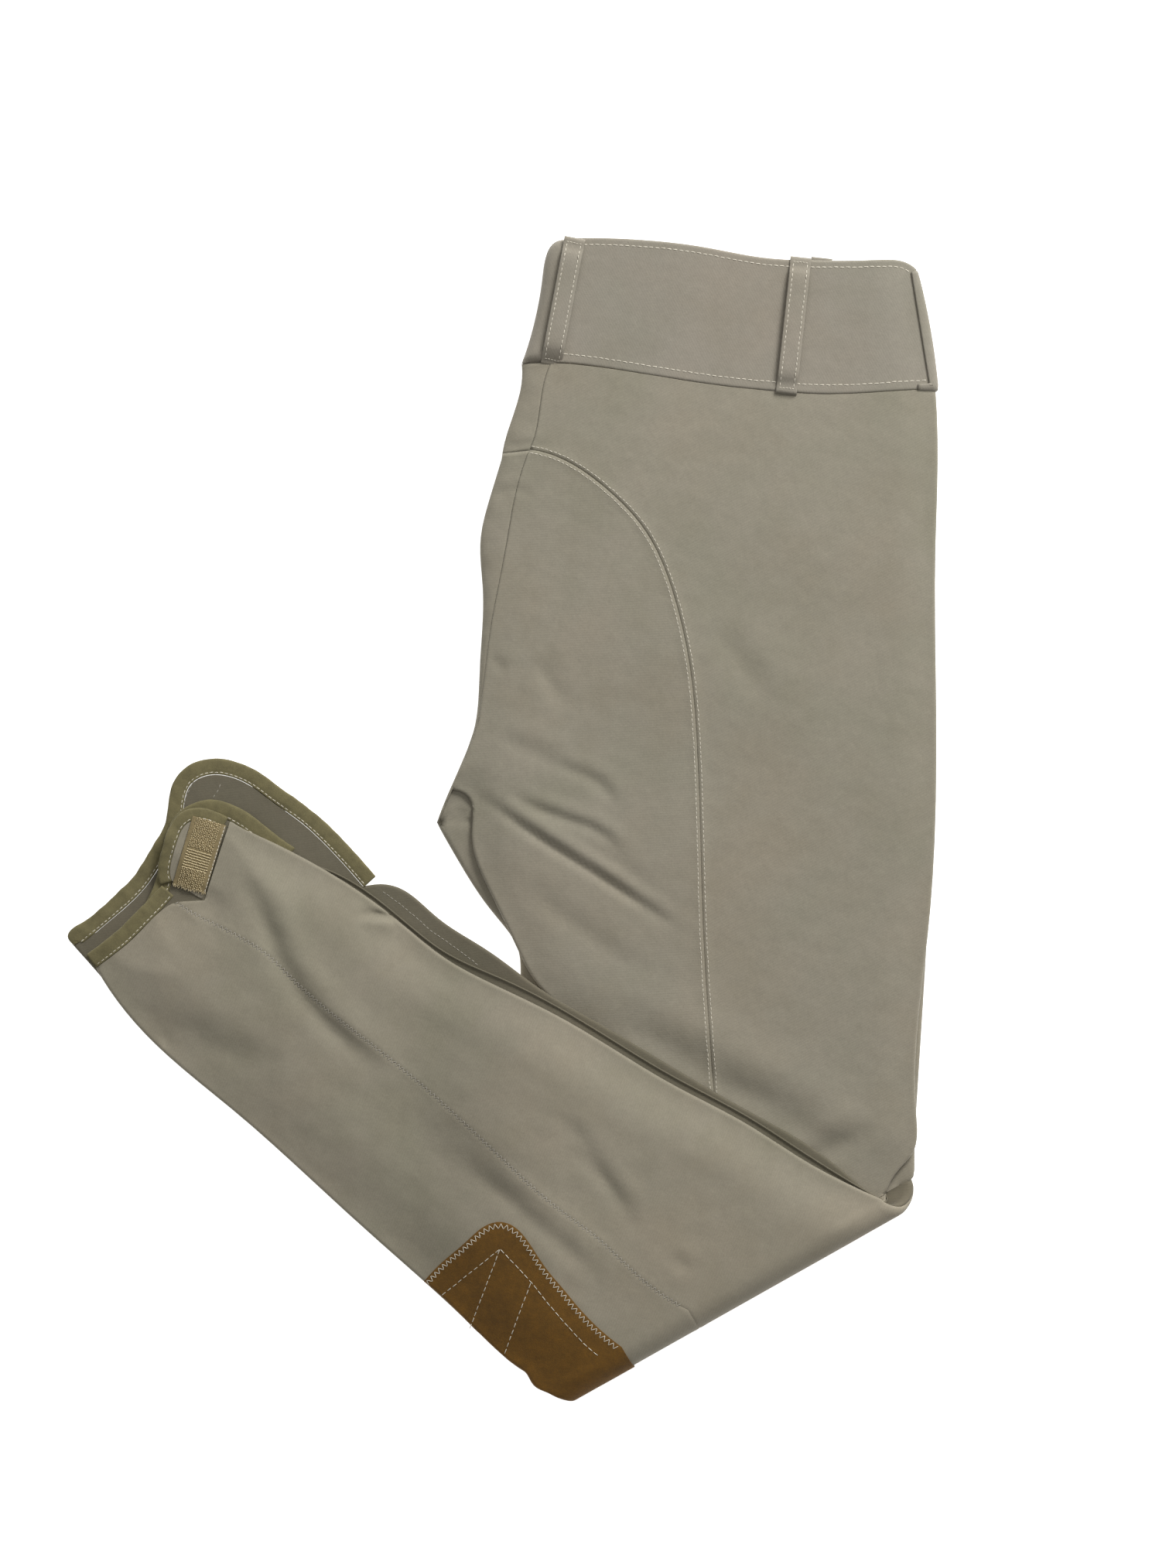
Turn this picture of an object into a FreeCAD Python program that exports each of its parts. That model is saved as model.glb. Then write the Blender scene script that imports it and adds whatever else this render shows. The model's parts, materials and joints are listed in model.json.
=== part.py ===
"""Knee-patch riding breeches, folded flat: in half lengthwise, then both legs folded back at the knee.

The breeches lie on their left back. Counting up from the surface, the thighs are left back, left
front, right front and right back, and the lower legs repeat those plies in the opposite order above
them. X runs across the seat, Y points to the waist and Z is up. Lengths are in millimetres.
"""
import FreeCAD, Part
import math
import os

os.makedirs("parts", exist_ok=True)
DOC = FreeCAD.newDocument("riding_breeches")
V = FreeCAD.Vector
UP = V(0, 0, 1)

# ---------------------------------------------------------------- driving dimensions
SIZES = {
    "fabric": (1.0, "thickness of a ply of stretch fabric"),
    "facing": (0.6, "thickness of the waistband facing"),
    "suede": (0.8, "thickness of a knee patch"),
    "bound": (1.6, "thickness of a bound edge"),
    "left_back": (1.0, "level of the left back ply"),
    "left_front": (7.0, "level of the left front ply"),
    "right_front": (9.1, "level of the right front ply"),
    "right_back": (11.7, "level of the right back ply"),
    "fold_height": (13.7, "height of the knee fold's axis"),
    "fold_across": (27.0, "place of the fold axis's inseam end across the seat"),
    "fold_along": (-290.2, "place of the fold axis's inseam end along the leg"),
    "fold_angle": (29.4, "angle of the knee fold from the waist's direction, degrees"),
    "drop": (14.2, "how far the lower legs sink beside the thighs"),
    "loop_width": (11.0, "width of a belt loop"),
    "loop_ply": (0.9, "thickness of a belt loop"),
    "binding_width": (8.0, "width of the hem binding"),
    "tape_width": (20.0, "width of the hook and loop tapes"),
    "zip_length": (146.0, "length of the coil chain"),
    "zip_level": (4.5, "level of the coil chain's middle"),
    "zip_across": (42.0, "place of the zip's top across the seat"),
    "zip_along": (226.0, "place of the zip's top along the leg"),
    "zip_angle": (-98.7, "direction the zip runs, degrees"),
    "zip_tape": (12.0, "width of a zip tape"),
    "zip_web": (0.4, "thickness of a zip tape"),
    "coil_width": (1.4, "width of one coil"),
    "coil_height": (1.4, "height of one coil"),
    "coil_slot": (0.9, "slot between the coils that the slider's post runs in"),
    "slider_length": (9.5, "length of the zip slider"),
    "wing": (0.6, "thickness of a slider wing"),
    "hook_length": (12.0, "length of a trouser hook"),
    "hook_width": (8.0, "width of a trouser hook"),
    "hook_plate": (0.6, "thickness of a trouser hook"),
}
SHEET = DOC.addObject("Spreadsheet::Sheet", "sizes")
for row, (alias, (value, meaning)) in enumerate(SIZES.items(), start=1):
    SHEET.set(f"A{row}", meaning)
    SHEET.set(f"B{row}", str(value))
    SHEET.setAlias(f"B{row}", alias)
DOC.recompute()


def size(alias):
    """A driving dimension, read from the sheet."""
    return float(SHEET.get(alias))


# ---------------------------------------------------------------- the garment's lines
FOLD_START = V(size("fold_across"), size("fold_along"), 0)
FOLD_ALONG = V(math.cos(math.radians(size("fold_angle"))), math.sin(math.radians(size("fold_angle"))), 0)
FOLD_INWARD = UP.cross(FOLD_ALONG)


def on_fold(distance):
    """A point on the knee fold's axis, that far from its inseam end."""
    point = FOLD_START + FOLD_ALONG * distance
    return (point.x, point.y)


SEAM_FOLD = on_fold(104)        # where the right leg's outer back seam meets the knee fold
LOWER_SEAM_FOLD = on_fold(79)   # where the left leg's outer back seam meets it
RIGHT_FOLD_END = on_fold(197)   # where the right thigh's side fold meets it
LEFT_FOLD_END = on_fold(207)
RIGHT_CALF_FOLD_END = on_fold(191)  # where the right lower leg's side fold meets it
LEFT_CALF_FOLD_END = on_fold(193)
PATCH_FOLD = on_fold(40)
FOLD_INSEAM = on_fold(0)

# Waistband, clockwise from the centre back.
BAND_LEFT = [(10.4, 236.6), (16.5, 256), (21, 280), (22.4, 290), (25.5, 297.5), (33, 300.4)]
BAND_TOP = [(33, 300.4), (73, 299.6), (104, 296), (134, 290.6), (160, 289), (196, 289.4), (208, 288.6),
            (214, 285)]
BAND_SIDE = [(214, 285), (224, 223.4)]
BAND_FOOT = [(224, 223.4), (195, 221.4), (165, 220.4), (140, 222), (119, 224), (88, 228.4), (58, 233.2),
             (30, 236.6), (10.4, 236.6)]
PANEL_HEAD = [(10.4, 236.3), (30, 236.3), (58, 232.9), (88, 228.1), (119, 223.7), (140, 221.7), (165, 220.1),
              (195, 221.1), (224, 223.1)]
RIGHT_HEAD = [(25.5, 236.4)] + PANEL_HEAD[2:]

# Right leg, thigh: centre back, seat seam, inseam and side.
SEAT_CORNER = (14.4, 191.6)
CROTCH = (-26.4, 16)
CENTRE_BACK_UPPER = [SEAT_CORNER, (18.6, 205), (21, 222), (25.5, 236.4)]
CENTRE_BACK_LOWER = [CROTCH, (-17, 36), (-12, 52), (-9.4, 70), (-4.4, 107), (2, 140), (7, 168), SEAT_CORNER]
RIGHT_INSEAM = [FOLD_INSEAM, (44, -235), (51, -165), (46, -112), (19.6, -86.4), (7, -64), (-8, -33),
                (-15.6, -7), (-16.4, 10.4), CROTCH]
SEAT_SEAM = [SEAT_CORNER, (28, 188), (54, 171.2), (74, 149.6), (88.8, 116), (97.2, 78), (101, 34), (104, -60),
             (109, -136), SEAM_FOLD]
RIGHT_SIDE = [(224, 223.1), (225.2, 185), (224, 140), (224.4, 60), (220.4, -56), (214, -152), (212.4, -172),
              (206, -180), RIGHT_FOLD_END]

# Left leg, thigh.
LEFT_SEAT_CORNER = (0, 187)
LEFT_CROTCH = (-33.6, -1.6)
LEFT_CENTRE_UPPER = [LEFT_SEAT_CORNER, (3, 201), (8, 216), (10.4, 236.3)]
LEFT_CENTRE_LOWER = [LEFT_CROTCH, (-24, 22), (-14, 48), (-11.4, 78), (-9.8, 120), (-11, 145), (-7, 164),
                     LEFT_SEAT_CORNER]
LEFT_INSEAM = [FOLD_INSEAM, (40, -255), (44, -190), (28, -125), (10, -88), (9, -69), (-5, -47.6),
               (-25.6, -16), LEFT_CROTCH]
LEFT_SEAT_SEAM = [LEFT_SEAT_CORNER, (28, 187), (54, 170), (74, 148), (88, 114), (95, 70), (97, 20), (99, -60),
                  (101, -150), LOWER_SEAM_FOLD]
LEFT_SIDE = [(224, 223.1), (225.2, 185), (224, 140), (224.4, 60), (220.4, -56), (214.4, -152), (213.6, -178),
             (212, -187), LEFT_FOLD_END]

# Centre front, from the waist to the crotch; both fronts share it.
CENTRE_FRONT = [CROTCH, (-8, 44), (5, 92), (15, 142), (22, 196), (25.5, 236.4)]

# Lower legs. The inseam side runs from the fold to the hem, the side edge from the hem to the fold.
CALF_INSEAM = [FOLD_INSEAM, (12, -284), (-17, -260), (-44, -236), (-84.4, -200), (-137.6, -152), (-180, -116)]
RIGHT_CUFF_FOOT = (-222.4, -65.2)
RIGHT_CUFF_TOP = (-66, -29.6)
RIGHT_CUFF = [RIGHT_CUFF_FOOT, (-225.6, -60.6), (-216, -52), (-203.6, -41.6), (-190.8, -28.8), (-182, -14.8),
              (-174.6, -0.5), (-172.6, 14), (-168, 23.6), (-160.4, 29.2), (-150, 31.6), (-140, 30.4),
              (-127, 24.8), (-114.4, 15.6), (-100.4, 5.6), (-84, -9.5), RIGHT_CUFF_TOP]
RIGHT_CALF_SIDE = [RIGHT_CUFF_TOP, (-52, -36.5), (-34, -51), (-8, -67.6), (18, -86.4), (48, -104), (90, -129),
                   (130, -152), (158, -168), (178, -183), RIGHT_CALF_FOLD_END]
LEFT_CALF_SIDE = [(-138, -2.4), (-121, -11), (-101.6, -21), (-76, -36.4), (-57, -50.4), (-29.6, -72),
                  (-3.6, -85.6), (28.4, -101), (87, -136), (126.4, -157), (156.4, -176), (181.6, -189.3),
                  LEFT_CALF_FOLD_END]
LEFT_FRONT_SIDE = [(-108, -15), (-76, -33.5), (-57, -47.5), (-29, -69), (0, -82), (30, -97), (88, -132),
                   (127, -153), (156.4, -171.9), (181.6, -187.6), LEFT_CALF_FOLD_END]
LEFT_CUFF_FOOT = (-215.4, -70.2)
TAB_FOOT = (-176.4, -34)
SEAM_HEM = (-169.2, -42.5)
LEFT_CUFF = [LEFT_CUFF_FOOT, (-208, -64.7), (-198.9, -57.4), (-191.5, -50), (-184.2, -42.6), TAB_FOOT]
LEFT_FRONT_CUFF = [LEFT_CUFF_FOOT, (-200, -58), (-185, -43), (-177, -20), (-168.5, 3), (-159.2, 8.6),
                   (-151.6, 10.3), (-141, 8), (-129.6, 1.6), (-108, -15)]
LOWER_SEAM = [SEAM_HEM, (-157.6, -50), (-147, -55), (-137, -60), (-120.7, -70.5), (-112, -79), (-60, -122),
              (0, -174), (30.6, -200.7), (50, -215.2), (65.5, -229.8), (89.7, -248.2), LOWER_SEAM_FOLD]
HINGE_FOOT = (-154.5, -41.6)
HINGE_TOP = (-141, 0)
TAB_EDGE = [(-176.8, -33.4), (-177.8, -30), (-176.8, -18.8), (-173.2, -7.2), (-168, 1.8), (-160.4, 5.8),
            (-150, 4.6), (-142.4, 1)]

# Suede knee patch, from the inseam over its peak to the fold.
CALF_PATCH_EDGE = [(-40.4, -239.2), (-30.4, -228.4), (-18.4, -217.6), (-8, -208.8), (-0.8, -206.8),
                   (6, -208.8), (13.2, -216), (22.4, -229.6), (32, -241.2), (40, -250.8), (50, -261),
                   PATCH_FOLD]
CALF_PATCH_INSEAM = [FOLD_INSEAM, (12, -284), (-17, -260), (-40.4, -239.2)]
THIGH_PATCH_EDGE = [(46, -225), (54, -217), (60, -220), (64, -236), PATCH_FOLD]
THIGH_PATCH_INSEAM = [FOLD_INSEAM, (37, -260), (46, -225)]


def moved_sideways(points, distance):
    """The same line moved to its left by that distance, point by point."""
    result = []
    for i, (x, y) in enumerate(points):
        before = points[max(i - 1, 0)]
        after = points[min(i + 1, len(points) - 1)]
        dx, dy = after[0] - before[0], after[1] - before[1]
        length = math.hypot(dx, dy)
        result.append((x - dy / length * distance, y + dx / length * distance))
    return result


# ---------------------------------------------------------------- how pieces are made
PIECES = []
HELPERS = []


def bound(thing, prop, expression):
    """Ties a property to the sheet of sizes."""
    thing.setExpression(prop, expression)


def sized(name):
    """The sheet cell of that name, as an expression."""
    return f"sizes.{name}"


def new_body(name):
    body = DOC.addObject("PartDesign::Body", name)
    body.Label = name
    return body


def new_sketch(body, plane):
    sketch = body.newObject("Sketcher::SketchObject", body.Name + "_outline")
    support = next(f for f in body.Origin.OriginFeatures if f.Role == plane)
    sketch.AttachmentSupport = [(support, "")]
    sketch.MapMode = "FlatFace"
    return sketch


def draw(sketch, runs):
    """Draws a closed outline. A run of two points is straight, and a longer one is a smooth curve."""
    for run in runs:
        points = [V(x, y, 0) for x, y in run]
        if len(points) == 2:
            sketch.addGeometry(Part.LineSegment(*points), False)
        else:
            curve = Part.BSplineCurve()
            curve.interpolate(points)
            sketch.addGeometry(curve, False)


def pad(body, sketch, length, both_ways=False):
    feature = body.newObject("PartDesign::Pad", body.Name + "_pad")
    feature.Profile = sketch
    bound(feature, "Length", length)
    feature.Midplane = both_ways
    return feature


def closed(*runs):
    """Joins runs end to start, with a straight run wherever two don't meet."""
    result = []
    for i, run in enumerate(runs):
        result.append(run)
        following = runs[(i + 1) % len(runs)]
        if math.dist(run[-1], following[0]) > 1e-6:
            result.append([run[-1], following[0]])
    return result


def flat_piece(name, runs, level, thickness):
    """A ply of that outline, lying flat with its underside at level."""
    body = new_body(name)
    sketch = new_sketch(body, "XY_Plane")
    draw(sketch, runs)
    pad(body, sketch, thickness)
    bound(body, "Placement.Base.z", level)
    PIECES.append(body)
    return body


def drape(name, level, thickness):
    """An endless ply that lies over the thighs, then sinks beside them to the surface."""
    drop = size("drop")
    shelf, foot, far = 24, -36, 260
    slope = [(shelf, 0), (10, -0.13 * drop), (-6, -0.5 * drop), (-22, -0.87 * drop), (foot, -drop)]
    under = [(x, z - size(thickness)) for x, z in slope]
    body = new_body(name)
    sketch = new_sketch(body, "XZ_Plane")
    top_right, top_left = (far, 0), (-far, -drop)
    low_right, low_left = (far, -size(thickness)), (-far, -drop - size(thickness))
    draw(sketch, closed([top_right, slope[0]], slope, [slope[-1], top_left], [low_left, under[-1]],
                        under[::-1], [under[0], low_right]))
    pad(body, sketch, "800", both_ways=True)
    bound(body, "Placement.Base.z", f"{level} + {sized(thickness)}")
    HELPERS.append(body)
    return body


def draped_piece(name, runs, ply):
    """A piece of that outline, cut from a draped ply."""
    block = new_body(name + "_block")
    sketch = new_sketch(block, "XY_Plane")
    draw(sketch, runs)
    pad(block, sketch, "40")
    HELPERS.append(block)
    piece = DOC.addObject("Part::Common", name)
    piece.Label = name
    piece.Base = block
    piece.Tool = ply
    PIECES.append(piece)
    return piece


def box(name, length, width, height, at):
    """A block whose three sizes are expressions, with its low corner at a place."""
    block = DOC.addObject("Part::Box", name)
    block.Label = name
    for prop, value in (("Length", length), ("Width", width), ("Height", height)):
        bound(block, prop, str(value))
    block.Placement.Base = V(*at)
    return block


def joined(name, kind, things):
    """A boolean or a group of the given things."""
    result = DOC.addObject(kind, name)
    result.Label = name
    if kind == "Part::Compound":
        result.Links = things
    elif kind == "Part::MultiFuse":
        result.Shapes = things
    else:
        result.Base, result.Tool = things
    HELPERS.extend(things)
    return result


def above(ply, distance=0.1):
    """The level just above a ply of fabric, as an expression."""
    return f"{sized(ply)} + sizes.fabric + {distance}"


def over_fold(level, thickness):
    """The level that a thigh ply comes to once it has passed round the knee fold, as an expression."""
    return f"2 * sizes.fold_height - {level} - sizes.{thickness}"


# ---------------------------------------------------------------- waistband and belt loops
def make_waistband():
    """Four outer plies and their facings, which face into the garment."""
    outline = closed(BAND_LEFT, BAND_TOP, BAND_SIDE, BAND_FOOT)
    into = {"right_back": "- sizes.facing - 0.1", "left_front": "- sizes.facing - 0.1",
            "right_front": "+ sizes.fabric + 0.1", "left_back": "+ sizes.fabric + 0.1"}
    for ply, shift in into.items():
        flat_piece(ply + "_waistband", outline, sized(ply), sized("fabric"))
        flat_piece(ply + "_waistband_facing", outline, f"{sized(ply)} {shift}", sized("facing"))


def belt_loop(name, top, foot, level, rise):
    """A strap from the band's top to its foot, whose middle stands that far off the band."""
    length = math.dist(top, foot)
    ply, sewn, bend = size("loop_ply"), 5, 5
    inner = [(0, 0), (sewn, 0), (sewn + bend, rise),
             (length - sewn - bend, rise), (length - sewn, 0), (length, 0)]
    outer = [(x, z + ply) for x, z in inner]
    corners = inner + outer[::-1]
    if rise == 0:
        corners = [inner[0], inner[-1], outer[-1], outer[0]]
    body = new_body(name)
    sketch = new_sketch(body, "XZ_Plane")
    draw(sketch, [[corners[i - 1], corners[i]] for i in range(len(corners))])
    pad(body, sketch, sized("loop_width"), both_ways=True)
    turn = math.degrees(math.atan2(foot[1] - top[1], foot[0] - top[0]))
    body.Placement = FreeCAD.Placement(V(top[0], top[1], 0), FreeCAD.Rotation(UP, turn))
    bound(body, "Placement.Base.z", level)
    PIECES.append(body)


def side_belt_loop(name, wall_foot, wall_top, flap):
    """A strap creased round the side fold: a wall outside the fold and a flap on the back ply."""
    top, foot = V(214.7, 281, 0), V(223.4, 229, 0)
    ply, reach = size("loop_ply"), 5.5
    length = (foot - top).Length
    wall = box(name + "_wall", length, sized("loop_ply"), wall_top - wall_foot, (0, 0.3, wall_foot))
    leaf = box(name + "_flap", length, reach + 0.3 + ply, sized("loop_ply"), (0, -reach, flap))
    piece = joined(name, "Part::MultiFuse", [wall, leaf])
    turn = math.degrees(math.atan2(foot.y - top.y, foot.x - top.x))
    piece.Placement = FreeCAD.Placement(top, FreeCAD.Rotation(UP, turn))
    PIECES.append(piece)


def make_belt_loops():
    """Seven loops: one at the centre back and three on each half."""
    upper = above("right_back")
    belt_loop("centre_back_belt_loop", (37.6, 300), (25.4, 236), upper, 1.3)
    belt_loop("right_back_belt_loop", (154.4, 290), (146.8, 221), upper, 1.3)
    belt_loop("left_back_belt_loop", (166, 291.4), (158.4, 224), "0", 0)
    belt_loop("right_front_belt_loop", (112, 292), (104, 228), above("left_front", 0.05), 0)
    belt_loop("left_front_belt_loop", (132, 289), (124, 225), above("left_front", 0.05), 0)
    right_top = size("right_back") + size("fabric") + 0.1
    side_belt_loop("right_side_belt_loop", size("right_front"), right_top + size("loop_ply"), right_top)
    side_belt_loop("left_side_belt_loop", 0, size("left_front") + size("fabric"), 0)


# ---------------------------------------------------------------- thighs and seat
def make_thighs():
    """Each leg: a full seat panel, an outer back panel that reaches the waist, and a front panel."""
    fold_right = [RIGHT_FOLD_END, SEAM_FOLD]
    fold_left = [LEFT_FOLD_END, LOWER_SEAM_FOLD]
    flat_piece("right_seat_panel",
               closed(CENTRE_BACK_LOWER, SEAT_SEAM, [SEAM_FOLD, FOLD_INSEAM], RIGHT_INSEAM),
               sized("right_back"), sized("fabric"))
    flat_piece("right_back_thigh_panel",
               closed(RIGHT_HEAD, RIGHT_SIDE, fold_right, SEAT_SEAM[::-1], CENTRE_BACK_UPPER),
               sized("right_back"), sized("fabric"))
    flat_piece("right_front_thigh_panel",
               closed(RIGHT_HEAD, RIGHT_SIDE, [RIGHT_FOLD_END, FOLD_INSEAM], RIGHT_INSEAM, CENTRE_FRONT),
               sized("right_front"), sized("fabric"))
    flat_piece("left_front_thigh_panel",
               closed(RIGHT_HEAD, LEFT_SIDE, [LEFT_FOLD_END, FOLD_INSEAM], LEFT_INSEAM, CENTRE_FRONT),
               sized("left_front"), sized("fabric"))
    flat_piece("left_back_thigh_panel",
               closed(PANEL_HEAD, LEFT_SIDE, fold_left, LEFT_SEAT_SEAM[::-1], LEFT_CENTRE_UPPER),
               sized("left_back"), sized("fabric"))
    flat_piece("left_seat_panel",
               closed(LEFT_CENTRE_LOWER, LEFT_SEAT_SEAM, [LOWER_SEAM_FOLD, FOLD_INSEAM], LEFT_INSEAM),
               sized("left_back"), sized("fabric"))


# ---------------------------------------------------------------- lower legs
def make_lower_legs():
    """The same plies after the knee fold, draped from the thighs down to the surface."""
    plies = {ply: drape("draped_" + ply, over_fold(sized(ply), "fabric"), "fabric")
             for ply in ("left_back", "left_front", "right_front", "right_back")}
    inset = size("binding_width") + 0.2
    right_cuff = moved_sideways(RIGHT_CUFF, -inset)
    left_cuff = moved_sideways(LEFT_CUFF, -inset)
    front_cuff = moved_sideways(LEFT_FRONT_CUFF, -inset)
    right_inseam = CALF_INSEAM + [right_cuff[0]]
    left_inseam = CALF_INSEAM + [left_cuff[0]]
    front_inseam = CALF_INSEAM + [front_cuff[0]]
    right_side = [right_cuff[-1]] + RIGHT_CALF_SIDE[1:]
    front_side = [front_cuff[-1]] + LEFT_FRONT_SIDE[1:]
    right_seam = [(-176, -38)] + LOWER_SEAM[1:8] + [(40, -202), (80, -226), SEAM_FOLD]
    back_cuff = [right_inseam[-1], (-199, -60), (-187, -49), right_seam[0]]
    upper_cuff = [right_seam[0], (-160, -14), (-150, 14), (-138, 18), (-112, 3), right_side[0]]
    draped_piece("right_calf_inner_panel",
                 closed(right_inseam, back_cuff, right_seam, [SEAM_FOLD, FOLD_INSEAM]),
                 plies["right_back"])
    draped_piece("right_calf_outer_panel",
                 closed(upper_cuff, right_side, [RIGHT_CALF_FOLD_END, SEAM_FOLD], right_seam[::-1]),
                 plies["right_back"])
    draped_piece("right_calf_front_panel",
                 closed(right_inseam, right_cuff, right_side, [RIGHT_CALF_FOLD_END, FOLD_INSEAM]),
                 plies["right_front"])
    draped_piece("left_calf_front_panel",
                 closed(front_inseam, front_cuff, front_side, [LEFT_CALF_FOLD_END, FOLD_INSEAM]),
                 plies["left_front"])
    draped_piece("left_calf_inner_panel",
                 closed(left_inseam, left_cuff[:-1] + [SEAM_HEM], LOWER_SEAM, [LOWER_SEAM_FOLD, FOLD_INSEAM]),
                 plies["left_back"])
    left_seam = LOWER_SEAM[::-1]
    draped_piece("left_calf_outer_panel",
                 closed([SEAM_HEM, HINGE_FOOT], [HINGE_FOOT, HINGE_TOP], LEFT_CALF_SIDE,
                        [LEFT_CALF_FOLD_END, LOWER_SEAM_FOLD], left_seam),
                 plies["left_back"])
    lowered = {ply: over_fold(sized(ply), "fabric") + " - sizes.drop" for ply in plies}
    make_bindings(lowered, right_cuff, left_cuff, front_cuff)
    make_tapes(lowered)
    make_ankle_tab(lowered)


def make_bindings(level, right_inner, left_inner, front_inner):
    """Suede-finish binding round each hem; it is thicker than the ply that it closes."""
    middle = " + (sizes.fabric - sizes.bound) / 2"
    for name, outer, inner, ply in (("right_hem_binding", RIGHT_CUFF, right_inner, "right_front"),
                                    ("left_hem_binding", LEFT_CUFF, left_inner, "left_back"),
                                    ("left_front_hem_binding", LEFT_FRONT_CUFF, front_inner, "left_front")):
        edge = moved_sideways(inner, 0.2)
        flat_piece(name, closed(outer, edge[::-1]), level[ply] + middle, sized("bound"))


def make_tapes(level):
    """The hook tape on the right cuff's inside, and the loop tapes that face it across the closure."""
    for name, at, height, place in (
            ("right_hook_tape", (-151, -24), level["right_front"] + " - 1.3", "1.2"),
            ("right_loop_tape", (-90, -66), level["right_front"] + " + sizes.fabric + 0.1", "0.6"),
            ("left_loop_tape", (-122, -44), level["right_front"] + " + sizes.fabric + 0.1", "0.6")):
        tape = box(name, sized("tape_width"), 38, place, at + (0,))
        tape.Placement.Rotation = FreeCAD.Rotation(UP, 18)
        bound(tape, "Placement.Base.z", height)
        PIECES.append(tape)


def make_ankle_tab(level):
    """The left cuff's closing tab: a corner of fabric that its hook tape is sewn to, bound round its edge."""
    inset = size("binding_width") * 0.75
    inner = moved_sideways(TAB_EDGE, -inset)
    binding_inner = moved_sideways(TAB_EDGE, 0.1 - inset)
    foot, top = (-155.6, -41.2), (-143.6, -4.4)
    flat_piece("left_ankle_tab", closed([foot, inner[0]], inner, [inner[-1], top]),
               level["left_back"], sized("fabric"))
    flat_piece("left_tab_binding", closed(TAB_EDGE, binding_inner[::-1]),
               level["left_back"] + " + (sizes.fabric - sizes.bound) / 2", sized("bound"))
    tape = box("left_hook_tape", 17.5, 37, "1.4", (-170.8, -33.2, 0))
    tape.Placement.Rotation = FreeCAD.Rotation(UP, -17)
    bound(tape, "Placement.Base.z", level["left_back"] + " + sizes.fabric + 0.4")
    PIECES.append(tape)


def make_knee_patches():
    """Suede patches outside the knees, each in the two halves that its fold makes."""
    thigh = closed(THIGH_PATCH_INSEAM, THIGH_PATCH_EDGE, [PATCH_FOLD, FOLD_INSEAM])
    calf = closed(CALF_PATCH_INSEAM, CALF_PATCH_EDGE, [PATCH_FOLD, FOLD_INSEAM])
    under_left = "sizes.left_back - sizes.suede - 0.1"
    over_right = above("right_back")
    flat_piece("left_thigh_knee_patch", thigh, under_left, sized("suede"))
    flat_piece("right_thigh_knee_patch", thigh, over_right, sized("suede"))
    for name, level in (("left_calf_knee_patch", under_left), ("right_calf_knee_patch", over_right)):
        draped_piece(name, calf, drape("draped_" + name, over_fold(f"({level})", "suede"), "suede"))


def make_knee_folds():
    """Half rings of fabric that carry each ply round the knee fold's axis."""
    turned = FreeCAD.Rotation(UP, FOLD_INWARD * -1, FOLD_ALONG, "ZXY")
    for ply, length in (("left_back", 207), ("left_front", 207), ("right_front", 197), ("right_back", 197)):
        halves = []
        for part, radius in (("outside", f"sizes.fold_height - {sized(ply)}"),
                             ("inside", f"sizes.fold_height - {sized(ply)} - sizes.fabric")):
            half = DOC.addObject("Part::Cylinder", f"{ply}_fold_{part}")
            bound(half, "Radius", radius)
            half.Height = length
            half.Angle = 180
            half.Placement = FreeCAD.Placement(FOLD_START, turned)
            bound(half, "Placement.Base.z", "sizes.fold_height")
            halves.append(half)
        PIECES.append(joined(ply + "_knee_fold", "Part::Cut", halves))


# ---------------------------------------------------------------- fly and waist fastening
ZIP_TURN = FreeCAD.Rotation(UP, size("zip_angle"))


def put_on_zip(thing, level="0"):
    """Places a piece made in the zip's own frame: X runs down the zip, Y towards the side."""
    thing.Placement = FreeCAD.Placement(V(size("zip_across"), size("zip_along"), 0), ZIP_TURN)
    bound(thing, "Placement.Base.z", level)
    PIECES.append(thing)
    return thing


def grouped_on_zip(name, kind, things, level="0"):
    return put_on_zip(joined(name, kind, things), level)


def make_zip():
    """Tapes, coils and stops of the fly zip; the coils leave a slot for the slider's post."""
    slot, coil = size("coil_slot") / 2, size("coil_width")
    tape = size("zip_tape")
    for side, sign in (("left", 1), ("right", -1)):
        low = slot if sign > 0 else -slot - coil
        chain = box(f"zip_coil_{side}_chain", sized("zip_length"), sized("coil_width"), sized("coil_height"),
                    (0, low, 0))
        grouped_on_zip(f"zip_coil_{side}", "Part::Compound", [chain],
                       "sizes.zip_level - sizes.coil_height / 2")
        low = slot + coil if sign > 0 else -slot - coil - tape
        web = box(f"zip_tape_{side}_web", "sizes.zip_length + 6", sized("zip_tape"), sized("zip_web"),
                  (-2, low, 0))
        grouped_on_zip(f"zip_tape_{side}", "Part::Compound", [web], "sizes.zip_level - sizes.zip_web / 2")
    stops = [box(f"zip_top_stop_{i}", 2, 1.35, 1.6, (-2.3, low, -0.8))
             for i, low in enumerate((slot, -slot - 1.35))]
    grouped_on_zip("zip_top_stops", "Part::Compound", stops, "sizes.zip_level")
    block = box("zip_bottom_stop_block", 3, 3.6, 1.6, (size("zip_length") + 0.1, -1.8, -0.8))
    grouped_on_zip("zip_bottom_stop", "Part::Compound", [block], "sizes.zip_level")


def slider_wing(name, height):
    """One plate of the slider, wider at its shoulders."""
    wing = new_body(name)
    sketch = new_sketch(wing, "XY_Plane")
    length = size("slider_length")
    draw(sketch, closed([(0, -2.6), (0, 2.6)], [(0, 2.6), (1.2, 3.7), (4.5, 3.6)],
                        [(4.5, 3.6), (length, 2.8)], [(length, 2.8), (length, -2.8)],
                        [(length, -2.8), (4.5, -3.6)], [(4.5, -3.6), (1.2, -3.7), (0, -2.6)]))
    pad(wing, sketch, sized("wing"))
    wing.Placement.Base.z = height
    return wing


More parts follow.
